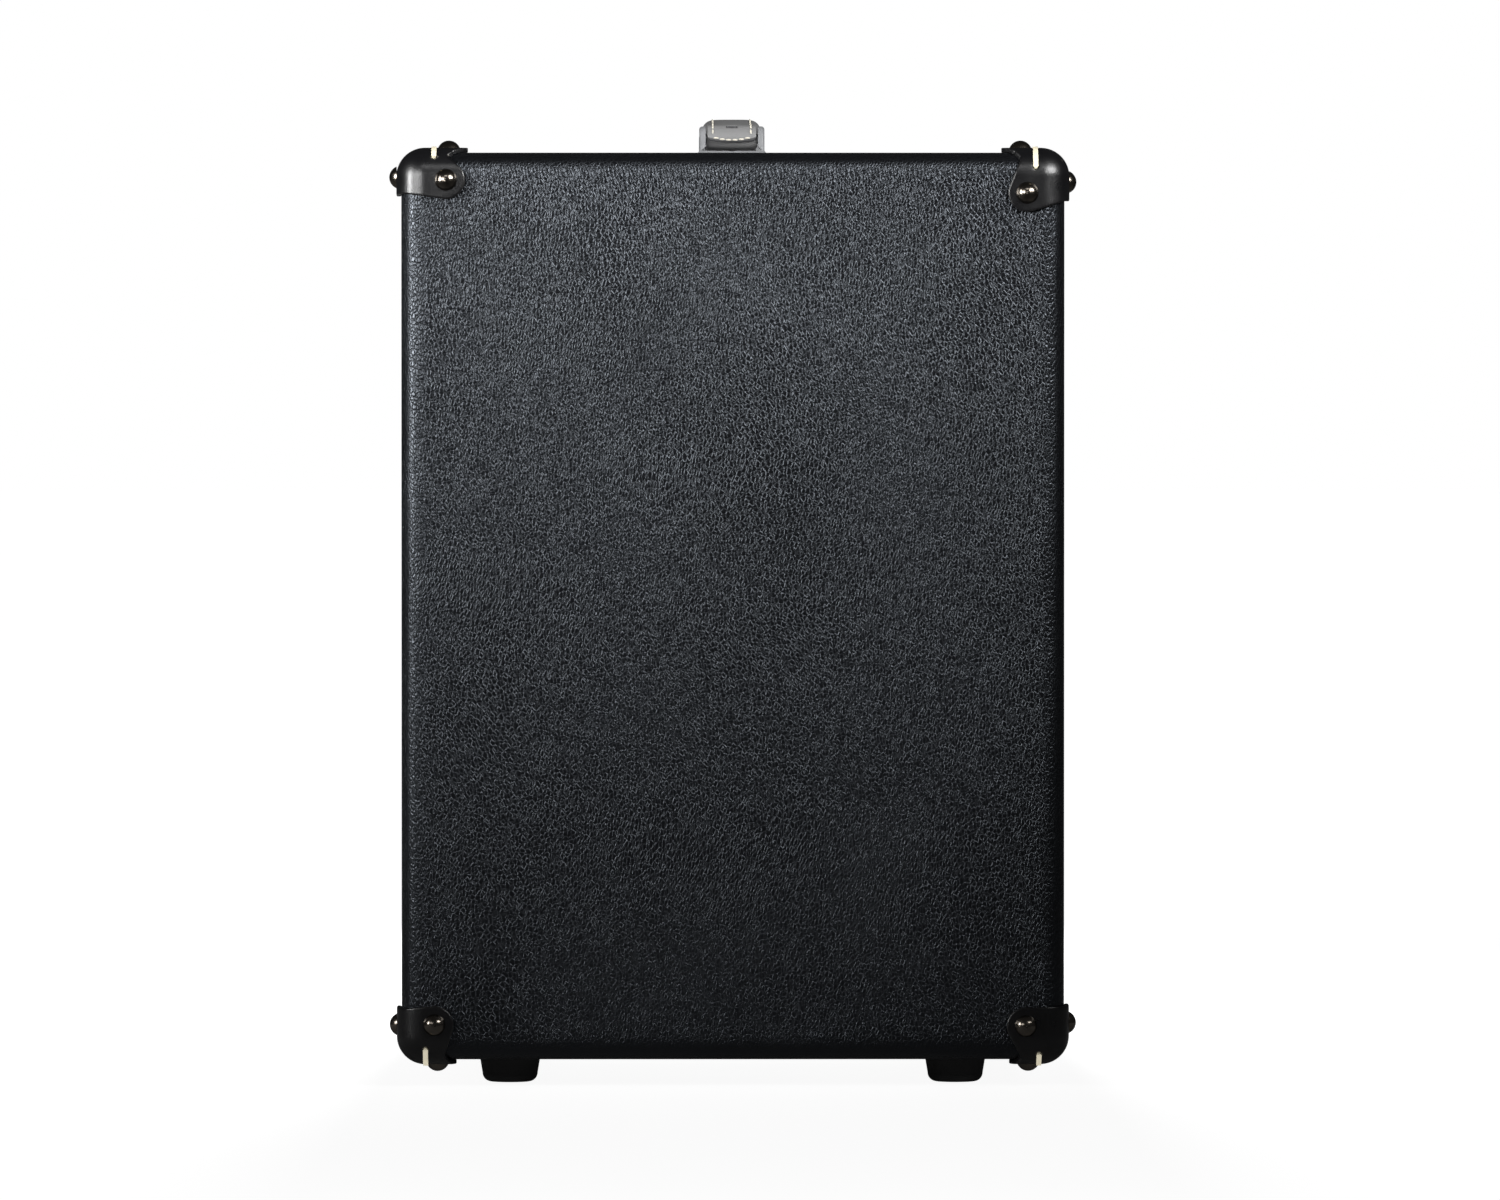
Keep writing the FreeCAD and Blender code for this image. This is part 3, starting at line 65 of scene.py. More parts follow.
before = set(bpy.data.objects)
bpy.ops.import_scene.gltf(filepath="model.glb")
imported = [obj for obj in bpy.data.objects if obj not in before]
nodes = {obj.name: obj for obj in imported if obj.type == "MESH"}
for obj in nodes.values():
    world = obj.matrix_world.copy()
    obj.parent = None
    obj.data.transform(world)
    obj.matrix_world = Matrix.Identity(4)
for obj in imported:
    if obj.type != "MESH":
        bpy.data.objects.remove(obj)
cad_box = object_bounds()

MM = 0.001
corner_names = [name for name in nodes if name.startswith("leather_corner_")]
foot_names = [name for name in nodes if name.startswith("rubber_foot_")]
bracket_names = [name for name in nodes if name.startswith("handle_bracket_")]

# The photograph's frame, and where the covered side lies in it
picture_width, picture_height = 1500, 1200
side_left, side_right = 401.0, 1065.0
side_top, side_bottom = 154.5, 1059.0

# Where the construction puts the shell, the handle and the speaker's axis
shell_low, shell_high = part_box("vinyl_covering")
pin_low, pin_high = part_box("handle_pins")
core_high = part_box("handle_core")[1]
strap_low, strap_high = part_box("handle_strap_right")
pin_radius = (pin_high.z - pin_low.z) / 2
pin_x = pin_high.x - pin_radius
pin_z = (pin_high.z + pin_low.z) / 2
tongue_radius = strap_high.z - pin_z
speaker_z = (shell_low.z + shell_high.z) / 2

# Painted shade in the slot of a tongue: half the slot's width, how far under the tongue's face it
# starts, and the depth over which it comes in
slot_reach = 3.6 * MM
slot_sink = 0.15 * MM
slot_fade = 0.3 * MM

# Painted shade along a tongue's end: how far below the pin its line starts, how that line rises
# towards the sides, per metre, and the depth over which it comes in
end_drop = 0.7 * MM
end_bow = 11.0
end_fade = 0.4 * MM

# Stitches on a tongue, as turns about the pin from straight up: where the two side rows stop, where
# the end row has its middle, and how much higher its two ends lie
side_rows_turn = math.radians(80)
end_row_turn = math.radians(95)
end_row_rise = math.radians(11)

# Cross recess of a screw, whose bars stand half in the head, and the height that only screws have
cross_length = 4.2 * MM
cross_width = 0.9 * MM
cross_height = 3.0 * MM
screw_height = 5.0 * MM

# Sectors of the surround and of the spider
sector_count = 12

# Filling of the grip: the padding's pressure, and the steps in which the leather gives way
filling_pressure = 4.0
filling_steps = 20


def linear(hex_colour):
    """An sRGB hex colour as linear red, green and blue."""
    values = [int(hex_colour[k:k + 2], 16) / 255 for k in (1, 3, 5)]
    return [v / 12.92 if v <= 0.04045 else ((v + 0.055) / 1.055) ** 2.4 for v in values]


def size_of(name, description, default):
    """A size in metres."""
    return FloatProperty(
        name=name, description=description, default=default, min=0.0, precision=5,
        subtype="DISTANCE", unit="LENGTH",
    )


def colour_of(name, description, default):
    """A colour, written as an sRGB hex value."""
    return FloatVectorProperty(
        name=name, description=description, default=linear(default), size=3, min=0.0, max=1.0,
        subtype="COLOR",
    )


def level_of(name, description, default):
    """A brightness, or a lamp's power in watts."""
    return FloatProperty(name=name, description=description, default=default, min=0.0, precision=3)


class CabinetSizes(bpy.types.PropertyGroup):
    """Sizes of the surfaces and of the soft pieces."""

    grain: size_of("Vinyl grain", "Width of one pebble of the vinyl's grain", 1.5 * MM)
    grain_depth: size_of("Grain depth", "Height of the pebbles above their creases", 0.25 * MM)
    grain_drift: size_of("Grain drift", "Distance over which the grain's direction wanders", 120 * MM)
    corner_voxel: size_of("Corner mesh", "Mesh size of the leather corners", 0.45 * MM)
    lace_voxel: size_of("Lace mesh", "Mesh size of the corner lacing", 0.25 * MM)
    strap_voxel: size_of("Strap mesh", "Mesh size of the handle's strap ends", 0.5 * MM)
    grip_voxel: size_of("Grip mesh", "Mesh size of the grip before it is filled", 2.2 * MM)
    grip_swell: size_of("Grip swell", "How far the filling may push the grip's leather", 0.8 * MM)
    stitch_length: size_of("Stitch length", "Length of one stitch that shows", 2.8 * MM)
    stitch_pitch: size_of("Stitch pitch", "Distance from one stitch to the next", 3.4 * MM)
    stitch_inset: size_of("Stitch inset", "Distance of the stitches from the leather's edge", 3.2 * MM)
    thread_radius: size_of("Thread radius", "Half the thickness of the sewing thread", 0.5 * MM)
    cloth_thread: size_of("Grille thread", "Spacing of the grille cloth's threads", 1.5 * MM)
    cloth_thickness: size_of("Grille cloth", "Thickness of the grille cloth", 0.8 * MM)
    cloth_turnover: size_of("Turnover", "Width of cloth that is turned over behind its frame", 15 * MM)
    cloth_round: size_of("Cloth edge", "How far the cloth is rounded where it goes over an edge", 1.6 * MM)


class CabinetColours(bpy.types.PropertyGroup):
    """Colours of the finishes that show."""

    # The crowns are painted lighter than the creases: a painted sheen on the crowns
    vinyl: colour_of("Vinyl", "Crowns of the vinyl's grain", "#08080a")
    crease: colour_of("Creases", "Creases of the vinyl's grain", "#040405")
    corner: colour_of("Corner leather", "Dyed face of the leather corners", "#0d0d0f")
    cut_edge: colour_of("Cut edge", "Bare edge of the corner leather", "#77746e")
    lace: colour_of("Lacing", "Waxed lacing of the corners", "#eae1c6")
    thread: colour_of("Thread", "Sewing thread of the handle", "#cbc6b8")
    nail: colour_of("Nails", "Antique bronze plating", "#90887e")
    handle: colour_of("Handle leather", "Harness leather of the handle", "#707070")
    # Also the colour of the painted shade in and under the tongues' slots and along their ends
    handle_edge_and_shade: colour_of("Handle edge", "Dyed edge of the handle's leather", "#3a3a3b")
    bracket: colour_of("Brackets", "Powder coat of the handle's brackets", "#77787a")
    cloth: colour_of("Grille cloth", "Black woven cloth", "#1d1d1f")
    birch: colour_of("Plywood", "Birch plywood", "#c9a877")
    paper: colour_of("Cone", "Dyed paper pulp", "#26272a")


class StageSettings(bpy.types.PropertyGroup):
    """Camera and studio light."""

    camera_distance: size_of("Camera distance", "From the camera to the cabinet's side", 6.0)
    camera_rise: size_of("Camera rise", "Height of the camera above the picture's middle", 0.115)
    camera_offset: size_of("Camera offset", "How far the camera stands to the cabinet's front", 0.03)
    softbox_aim: size_of("Softbox aim", "Height that the softboxes are aimed at", 1.2)
    front_power: level_of("Front power", "Watts of the softbox off the front corner", 6.9)
    back_power: level_of("Back power", "Watts of the softbox off the back corner", 15.0)
    boom_power: level_of("Boom power", "Watts of the strip above the side in view", 0.75)
    strip_power: level_of("Strip power", "Watts of the upright strip at the front edge", 2.6)
    far_power: level_of("Far power", "Watts of the softbox that lights the far side", 9.0)
    room_light: level_of("Room light", "Light from all around", 0.01)
    room_gleam: level_of("Room gleam", "How bright the room is in a surface's gloss", 0.012)
    floor_gleam: level_of("Floor gleam", "How bright the floor is in a surface's gloss", 0.012)
    floor_bounce: level_of("Floor bounce", "How bright the floor is to a matt surface", 0.9)
    floor_size: size_of("Floor size", "Length of the floor's sides", 60.0)
    pale_level: level_of("Pale level", "How bright the floor looks where it keeps a shadow", 0.93)
    pale_reach: size_of("Pale reach", "How far from the middle the floor stays pale", 0.4)
    white_reach: size_of("White reach", "How far from the middle the floor is white", 1.6)


def only(piece):
    """Leaves one object selected and active."""
    bpy.ops.object.select_all(action="DESELECT")
    piece.select_set(True)
    bpy.context.view_layer.objects.active = piece


def edit(piece):
    """Opens a piece for editing with everything in it selected."""
    only(piece)
    bpy.ops.object.mode_set(mode="EDIT")
    bpy.ops.mesh.select_all(action="SELECT")


def close():
    """Ends editing."""
    bpy.ops.object.mode_set(mode="OBJECT")


def finish_with(piece, kind, **settings):
    """Adds a modifier of one kind and applies it."""
    modifier = piece.modifiers.new(kind.lower(), kind)
    for name, value in settings.items():
        setattr(modifier, name, value)
    only(piece)
    bpy.ops.object.modifier_apply(modifier=modifier.name)


def copy_of(node, name):
    """A new piece that starts from a node's shape, with its triangles merged and no normals of its own."""
    piece = bpy.data.objects.new(name, nodes[node].data.copy())
    bpy.context.scene.collection.objects.link(piece)
    edit(piece)
    bpy.ops.mesh.remove_doubles(threshold=0.002 * MM)
    close()
    bpy.ops.mesh.customdata_custom_splitnormals_clear()
    return piece


def loose_parts(piece):
    """Separates a piece into its unconnected parts."""
    edit(piece)
    bpy.ops.mesh.separate(type="LOOSE")
    close()
    return list(bpy.context.selected_objects)


def joined(pieces, name):
    """Joins pieces into one with the given name."""
    only(pieces[0])
    for piece in pieces:
        piece.select_set(True)
    bpy.ops.object.join()
    pieces[0].name = name
    return pieces[0]


def soften(piece, voxel, rounds, share):
    """Remeshes a piece, eases its edges and keeps a share of its faces."""
    finish_with(piece, "REMESH", mode="VOXEL", voxel_size=voxel)
    finish_with(piece, "SMOOTH", factor=0.5, iterations=rounds)
    finish_with(piece, "DECIMATE", ratio=share)
    only(piece)
    bpy.ops.object.shade_smooth()


def dress(material, *names):
    """Gives nodes that keep their shape a finish."""
    for name in names:
        nodes[name].data.materials.clear()
        nodes[name].data.materials.append(material)


def settle(piece, material, replaced=(), body="cabinet"):
    """Gives a finished piece its finish, its body and the nodes that it stands for."""
    piece.data.materials.clear()
    piece.data.materials.append(material)
    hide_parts(*replaced)
    if body:
        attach(piece, body)


def add_node(tree, kind, inputs=None, **settings):
    """Adds a shader node with its settings; inputs are values, or sockets to link from."""
    node = tree.nodes.new(kind)
    for name, value in settings.items():
        setattr(node, name, value)
    for key, value in (inputs or {}).items():
        if isinstance(value, bpy.types.NodeSocket):
            tree.links.new(value, node.inputs[key])
        else:
            node.inputs[key].default_value = value
    return node


def start_material(name, base, roughness, metallic=0.0):
    """A new material with its shader's uniform settings; also returns its tree and shader."""
    material = bpy.data.materials.new(name)
    material.use_nodes = True
    tree = material.node_tree
    shader = tree.nodes["Principled BSDF"]
    shader.inputs["Base Color"].default_value = (*base, 1.0)
    shader.inputs["Roughness"].default_value = roughness
    shader.inputs["Metallic"].default_value = metallic
    return material, tree, shader


def grained_vinyl(sizes, colours):
    """Cloth-backed vinyl, embossed with a hide's grain.

    Each pebble is a small dome that catches the light on its upper sides as short strokes, and the
    creases between them stay dark and dull; the crowns are painted lighter than the creases, a
    painted sheen. Where the vinyl is drawn round an edge, its grain is flatter and the edge gleams in
    one band.
    """
    material, tree, shader = start_material("grained_vinyl", colours.vinyl, 0.4)
    shader.inputs["Specular IOR Level"].default_value = 0.8
    shader.inputs["Specular Tint"].default_value = (*linear("#eaf3ff"), 1.0)
    place = add_node(tree, "ShaderNodeTexCoord").outputs["Object"]
    drift = add_node(
        tree, "ShaderNodeTexNoise", {"Vector": place, "Scale": 1 / sizes.grain_drift, "Detail": 1.0}
    )
    bent = add_node(
        tree, "ShaderNodeVectorMath",
        {0: drift.outputs["Color"], 1: (sizes.grain_drift * 0.3,) * 3, 2: place},
        operation="MULTIPLY_ADD",
    )
    tall = add_node(
        tree, "ShaderNodeVectorMath", {0: bent.outputs[0], 1: (1.0, 1.0, 0.6)}, operation="MULTIPLY"
    )
    ragged = add_node(
        tree, "ShaderNodeTexNoise",
        {"Vector": tall.outputs[0], "Scale": 1 / sizes.grain, "Detail": 2.0},
    )
    grown = add_node(
        tree, "ShaderNodeVectorMath",
        {0: ragged.outputs["Color"], 1: (sizes.grain * 0.47,) * 3, 2: tall.outputs[0]},
        operation="MULTIPLY_ADD",
    )
    cells = add_node(
        tree, "ShaderNodeTexVoronoi", {"Vector": grown.outputs[0], "Scale": 1 / sizes.grain},
        feature="DISTANCE_TO_EDGE",
    )
    fall = add_node(
        tree, "ShaderNodeMapRange",
        {"Value": cells.outputs["Distance"], "From Max": 0.3, "To Min": 1.0, "To Max": 0.0},
    )
    crease = add_node(
        tree, "ShaderNodeMath", {0: fall.outputs[0], 1: fall.outputs[0]}, operation="MULTIPLY"
    )
    pores = add_node(
        tree, "ShaderNodeTexNoise",
        {"Vector": place, "Scale": 1 / (sizes.grain * 0.35), "Detail": 2.0},
    )
    depth = add_node(
        tree, "ShaderNodeMath", {0: pores.outputs["Fac"], 1: 0.2, 2: crease.outputs[0]},
        operation="MULTIPLY_ADD",
    )
    out = add_node(tree, "ShaderNodeNewGeometry").outputs["Normal"]
    facing = add_node(tree, "ShaderNodeVectorMath", {0: out}, operation="ABSOLUTE")
    ways = add_node(tree, "ShaderNodeSeparateXYZ", {0: facing.outputs[0]})
    level = add_node(
        tree, "ShaderNodeMath", {0: ways.outputs["X"], 1: ways.outputs["Y"]}, operation="MAXIMUM"
    )
    flat = add_node(
        tree, "ShaderNodeMath", {0: level.outputs[0], 1: ways.outputs["Z"]}, operation="MAXIMUM"
    )
    drawn = add_node(
        tree, "ShaderNodeMapRange", {"Value": flat.outputs[0], "From Min": 0.75, "To Min": 0.25}
    )
    bump = add_node(
        tree, "ShaderNodeBump",
        {"Height": depth.outputs[0], "Distance": sizes.grain_depth, "Strength": drawn.outputs[0]},
        invert=True,
    )
    # Creases darker, crowns painted lighter as a painted sheen
    tint = add_node(
        tree, "ShaderNodeMix",
        {0: crease.outputs[0], 6: (*colours.vinyl, 1.0), 7: (*colours.crease, 1.0)},
        data_type="RGBA",
    )
    dull = add_node(
        tree, "ShaderNodeMapRange", {"Value": crease.outputs[0], "To Min": 0.29, "To Max": 0.44}
    )
    tree.links.new(tint.outputs[2], shader.inputs["Base Color"])
    tree.links.new(dull.outputs[0], shader.inputs["Roughness"])
    tree.links.new(bump.outputs[0], shader.inputs["Normal"])
    return material


def painted_end_shade(tree, spot):
    """Painted shade along a tongue's end: below a line that rises from its middle towards its sides."""
    square = add_node(
        tree, "ShaderNodeMath", {0: spot.outputs["Y"], 1: spot.outputs["Y"]}, operation="MULTIPLY"
    )
    bowed = add_node(
        tree, "ShaderNodeMath", {0: square.outputs[0], 1: end_bow, 2: pin_z - end_drop},
        operation="MULTIPLY_ADD",
    )
    below = add_node(
        tree, "ShaderNodeMath", {0: bowed.outputs[0], 1: spot.outputs["Z"]}, operation="SUBTRACT"
    )
    return add_node(tree, "ShaderNodeMapRange", {"Value": below.outputs[0], "From Max": end_fade})


def painted_slot_shade(tree, spot):
    """Painted shade in the slot of a tongue: above the pin, below the tongue's face and near its middle.
    """
    long = add_node(tree, "ShaderNodeMath", {0: spot.outputs["X"]}, operation="ABSOLUTE")
    past = add_node(tree, "ShaderNodeMath", {0: long.outputs[0], 1: pin_x}, operation="SUBTRACT")
    bent = add_node(tree, "ShaderNodeMath", {0: past.outputs[0], 1: 0.0}, operation="MAXIMUM")
    rise = add_node(tree, "ShaderNodeMath", {0: spot.outputs["Z"], 1: pin_z}, operation="SUBTRACT")
    arm = add_node(tree, "ShaderNodeCombineXYZ", {0: bent.outputs[0], 1: rise.outputs[0]})
    reach = add_node(tree, "ShaderNodeVectorMath", {0: arm.outputs[0]}, operation="LENGTH")
    sunk = add_node(
        tree, "ShaderNodeMath", {0: tongue_radius - slot_sink, 1: reach.outputs["Value"]},
        operation="SUBTRACT",
    )
    deep = add_node(tree, "ShaderNodeMapRange", {"Value": sunk.outputs[0], "From Max": slot_fade})
    above = add_node(tree, "ShaderNodeMath", {0: rise.outputs[0], 1: 0.0}, operation="GREATER_THAN")
    wide = add_node(tree, "ShaderNodeMath", {0: spot.outputs["Y"]}, operation="ABSOLUTE")
    inside = add_node(
        tree, "ShaderNodeMath", {0: wide.outputs[0], 1: slot_reach}, operation="LESS_THAN"
    )
    both = add_node(
        tree, "ShaderNodeMath", {0: above.outputs[0], 1: inside.outputs[0]}, operation="MULTIPLY"
    )
    return add_node(
        tree, "ShaderNodeMath", {0: deep.outputs[0], 1: both.outputs[0]}, operation="MULTIPLY"
    )


def cut_leather(name, face, edge, pore, roughness, gloss=0.5, painted_shades=()):
    """Smooth dyed leather, burnished by hand: a soft sheen, fine pores, and edges of another colour.

    Each of the painted shades adds a place that is coloured like the edges, as painted shade.
    """
    material, tree, shader = start_material(name, face, roughness)
    shader.inputs["Specular IOR Level"].default_value = gloss
    place = add_node(tree, "ShaderNodeTexCoord").outputs["Object"]
    worn = add_node(
        tree, "ShaderNodeMapRange",
        {"Value": add_node(tree, "ShaderNodeNewGeometry").outputs["Pointiness"],
         "From Min": 0.53, "From Max": 0.62},
    )
    patches = add_node(tree, "ShaderNodeTexNoise", {"Vector": place, "Scale": 1 / (9 * MM)})
    bare_edge_and_shade = add_node(
        tree, "ShaderNodeMath", {0: worn.outputs[0], 1: patches.outputs["Fac"]}, operation="MULTIPLY"
    )
    spot = add_node(tree, "ShaderNodeSeparateXYZ", {0: place})
    # Painted shade in and under a tongue's slot and along its end takes the edges' colour here
    for shade_mark in painted_shades:
        bare_edge_and_shade = add_node(
            tree, "ShaderNodeMath", {0: bare_edge_and_shade.outputs[0], 1: shade_mark(tree, spot).outputs[0]},
            operation="MAXIMUM",
        )
    tint = add_node(
        tree, "ShaderNodeMix", {0: bare_edge_and_shade.outputs[0], 6: (*face, 1.0), 7: (*edge, 1.0)},
        data_type="RGBA",
    )
    sheen = add_node(
        tree, "ShaderNodeMapRange",
        {"Value": patches.outputs["Fac"], "To Min": roughness - 0.08, "To Max": roughness + 0.1},
    )
    pores = add_node(
        tree, "ShaderNodeTexNoise", {"Vector": place, "Scale": 1 / pore, "Detail": 4.0}
    )
    bump = add_node(
        tree, "ShaderNodeBump",
        {"Height": pores.outputs["Fac"], "Distance": 0.12 * MM, "Strength": 0.5},
    )
    tree.links.new(tint.outputs[2], shader.inputs["Base Color"])
    tree.links.new(sheen.outputs[0], shader.inputs["Roughness"])
    tree.links.new(bump.outputs[0], shader.inputs["Normal"])
    return material


def even_finish(name, base, roughness, metallic, speckle, depth):
    """A finish that is even but for a fine speckle, as moulding, plating or coating leaves it."""
    material, tree, shader = start_material(name, base, roughness, metallic)
    place = add_node(tree, "ShaderNodeTexCoord").outputs["Object"]
    grit = add_node(
        tree, "ShaderNodeTexNoise", {"Vector": place, "Scale": 1 / speckle, "Detail": 3.0}
    )
    cloud = add_node(
        tree, "ShaderNodeTexNoise", {"Vector": place, "Scale": 1 / (20 * speckle), "Detail": 2.0}
    )
    uneven = add_node(
        tree, "ShaderNodeMapRange",
        {"Value": cloud.outputs["Fac"], "To Min": roughness * 0.75, "To Max": roughness * 1.25},
    )
    shade = add_node(
        tree, "ShaderNodeMix",
        {0: cloud.outputs["Fac"], 6: (*(0.8 * c for c in base), 1.0),
         7: (*(min(1.0, 1.2 * c) for c in base), 1.0)},
        data_type="RGBA",
    )
    bump = add_node(
        tree, "ShaderNodeBump", {"Height": grit.outputs["Fac"], "Distance": depth, "Strength": 0.6}
    )
    tree.links.new(shade.outputs[2], shader.inputs["Base Color"])
    tree.links.new(uneven.outputs[0], shader.inputs["Roughness"])
    tree.links.new(bump.outputs[0], shader.inputs["Normal"])
    return material


def woven_cloth(name, base, thread):
    """Plain-woven cloth: threads that pass over and under, with painted shade darkening the gaps between
    them.
    """
    material, tree, shader = start_material(name, base, 0.8)
    place = add_node(tree, "ShaderNodeTexCoord").outputs["Object"]
    across = add_node(tree, "ShaderNodeSeparateXYZ", {0: place})
    waves = []
    for axis in ("X", "Z"):
        turn = add_node(
            tree, "ShaderNodeMath", {0: across.outputs[axis], 1: math.pi / thread},
            operation="MULTIPLY",
        )
        waves.append(add_node(tree, "ShaderNodeMath", {0: turn.outputs[0]}, operation="SINE"))
    over = add_node(
        tree, "ShaderNodeMath", {0: waves[0].outputs[0], 1: waves[1].outputs[0]},
        operation="MULTIPLY",
    )
    raised = add_node(tree, "ShaderNodeMath", {0: over.outputs[0]}, operation="ABSOLUTE")
    # The gaps between the threads are painted dark: painted shade
    tint = add_node(
        tree, "ShaderNodeMix",
        {0: raised.outputs[0], 6: (*(0.15 * c for c in base), 1.0), 7: (*base, 1.0)},
        data_type="RGBA",
    )
    bump = add_node(
        tree, "ShaderNodeBump",
        {"Height": raised.outputs[0], "Distance": thread * 0.35, "Strength": 1.0},
    )
    tree.links.new(tint.outputs[2], shader.inputs["Base Color"])
    tree.links.new(bump.outputs[0], shader.inputs["Normal"])
    return material


def birch_plywood(colours):
    """Birch plywood: pale, with fine darker figure drawn out along the panel's length."""
    material, tree, shader = start_material("birch_plywood", colours.birch, 0.65)
    place = add_node(tree, "ShaderNodeTexCoord").outputs["Object"]
    drawn = add_node(
        tree, "ShaderNodeVectorMath", {0: place, 1: (0.06, 1.0, 0.35)}, operation="MULTIPLY"
    )
    figure = add_node(
        tree, "ShaderNodeTexNoise",
        {"Vector": drawn.outputs[0], "Scale": 1 / (3 * MM), "Detail": 6.0, "Distortion": 0.6},
    )
    tint = add_node(
        tree, "ShaderNodeMix",
        {0: figure.outputs["Fac"], 6: (*(0.6 * c for c in colours.birch), 1.0),
         7: (*colours.birch, 1.0)},
        data_type="RGBA",
    )
    bump = add_node(
        tree, "ShaderNodeBump", {"Height": figure.outputs["Fac"], "Distance": 0.1 * MM}
    )
    tree.links.new(tint.outputs[2], shader.inputs["Base Color"])
    tree.links.new(bump.outputs[0], shader.inputs["Normal"])
    return material


def sewing_stitch(sizes):
    """One stitch along X, a small rounded length of thread."""
    bpy.ops.mesh.primitive_uv_sphere_add(segments=8, ring_count=6, radius=1.0)
    stitch = bpy.context.object
    edit(stitch)
    bpy.ops.transform.rotate(value=math.pi / 2, orient_axis="Y", center_override=(0.0, 0.0, 0.0))
    bpy.ops.transform.resize(value=(sizes.stitch_length / 2, sizes.thread_radius, sizes.thread_radius))
    close()
    bpy.ops.object.shade_smooth()
    return stitch


def sewn(stitch, places, name):
    """Copies of a stitch at each place, along its direction, joined into one piece."""
    row = []
    for spot, along, out in places:
        one = bpy.data.objects.new(name, stitch.data.copy())
        bpy.context.scene.collection.objects.link(one)
        side = out.cross(along).normalized()
        turn = Matrix((along.normalized(), side, along.cross(side).normalized())).transposed()
        one.data.transform(Matrix.Translation(spot) @ turn.to_4x4())
        row.append(one)
    return joined(row, name)


class CABINET_OT_covering(bpy.types.Operator):
    """Gives the shell and the back panel their vinyl"""

    bl_idname = "cabinet.covering"
    bl_label = "Vinyl covering"

    def execute(self, context):
        vinyl = grained_vinyl(context.scene.cabinet_sizes, context.scene.cabinet_colours)
        dress(vinyl, "vinyl_covering", "back_panel_vinyl")
        return {"FINISHED"}


class CABINET_OT_corners(bpy.types.Operator):
    """Makes the eight leather corners with soft cut edges"""

    bl_idname = "cabinet.corners"
    bl_label = "Leather corners"

    def execute(self, context):
        sizes = context.scene.cabinet_sizes
        colours = context.scene.cabinet_colours
        leather = cut_leather(
            "corner_leather", colours.corner, colours.cut_edge, 0.9 * MM, 0.3, gloss=0.8
        )
        for name in corner_names:
            piece = copy_of(name, f"soft_{name}")
            soften(piece, sizes.corner_voxel, rounds=4, share=0.4)
            settle(piece, leather, [name])
        return {"FINISHED"}


class CABINET_OT_lacing(bpy.types.Operator):
    """Makes the waxed lace across each corner's seam"""

    bl_idname = "cabinet.lacing"
    bl_label = "Corner lacing"

    def execute(self, context):
        piece = copy_of("corner_lacing", "waxed_lacing")
        soften(piece, context.scene.cabinet_sizes.lace_voxel, rounds=4, share=0.4)
        # Cream and slightly dull, with faint fibres
        waxed = even_finish(
            "waxed_lace", context.scene.cabinet_colours.lace, 0.55, 0.0, 0.5 * MM, 0.1 * MM
        )
        settle(piece, waxed, ["corner_lacing"])
        return {"FINISHED"}


class CABINET_OT_nails(bpy.types.Operator):
    """Gives the domed nails their antique plating"""

    bl_idname = "cabinet.nails"
    bl_label = "Corner nails"

    def execute(self, context):
        # A brown-grey mirror: small sharp lights on each dome, dark elsewhere
        bronze = even_finish(
            "antique_bronze", context.scene.cabinet_colours.nail, 0.2, 1.0, 1.0 * MM, 0.01 * MM
        )
        dress(bronze, "corner_nails")
        return {"FINISHED"}


class CABINET_OT_straps(bpy.types.Operator):
    """Makes the handle's strap ends: the loops, the tongues and their stitching"""

    bl_idname = "cabinet.straps"
    bl_label = "Handle straps"

    def execute(self, context):
        sizes = context.scene.cabinet_sizes
        colours = context.scene.cabinet_colours
        # The loops get painted shade under the tongues' slots; the tongues get painted shade in their
        # slots and along their ends
        leather = cut_leather(
            "harness_leather", colours.handle, colours.handle_edge_and_shade, 0.7 * MM, 0.5, painted_shades=(painted_slot_shade,)
        )
        tongue = cut_leather(
            "tongue_leather", colours.handle, colours.handle_edge_and_shade, 0.7 * MM, 0.5,
            painted_shades=(painted_end_shade, painted_slot_shade),
        )
        # Pale and matt, with a fine fuzz
        thread = even_finish("sewing_thread", colours.thread, 0.7, 0.0, 0.3 * MM, 0.05 * MM)
        stitch = sewing_stitch(sizes)
        for side, end in ((1, "right"), (-1, "left")):
            node = f"handle_strap_{end}"
            for part in loose_parts(copy_of(node, f"strap_{end}")):
                top = max(vertex.co.z for vertex in part.data.vertices)
                over = top > strap_high.z - MM
                part.name = f"strap_tongue_{end}" if over else f"strap_loop_{end}"
                soften(part, sizes.strap_voxel, rounds=3, share=0.5)
                settle(part, tongue if over else leather, [node], body=None)
                self.follow(part, side)
            row = sewn(stitch, self.places(sizes, side), f"strap_stitching_{end}")
            settle(row, thread, body=None)
            self.follow(row, side)
        bpy.data.objects.remove(stitch)
        return {"FINISHED"}

    def follow(self, piece, side):
        """Bakes a piece's placement into its shape."""
        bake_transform(piece)

    def places(self, sizes, side):
        """Where the stitches lie on the tongue: along both edges and across its end."""
        half = (strap_high.y - strap_low.y) / 2 - sizes.stitch_inset
        straight = pin_x - core_high.x
        bend = tongue_radius * side_rows_turn
        found = []
        for step in range(int((straight + bend) / sizes.stitch_pitch)):
            run = (step + 0.7) * sizes.stitch_pitch
            turn = max(0.0, run - straight) / tongue_radius
            out = Vector((side * math.sin(turn), 0.0, math.cos(turn)))
            along = Vector((side * math.cos(turn), 0.0, -math.sin(turn)))
            middle = Vector((side * (core_high.x + min(run, straight)), 0.0, pin_z))
            for edge in (-half, half):
                found.append((middle + out * tongue_radius + Vector((0.0, edge, 0.0)), along, out))
        count = round(2 * half / sizes.stitch_pitch)
        for step in range(count):
            share = (step + 0.5) / count * 2 - 1
            turn = end_row_turn - end_row_rise * share * share
            out = Vector((side * math.sin(turn), 0.0, math.cos(turn)))
            spot = Vector((side * pin_x, share * half, pin_z)) + out * tongue_radius
            found.append((spot, Vector((0.0, 1.0, 0.0)), out))
        return found


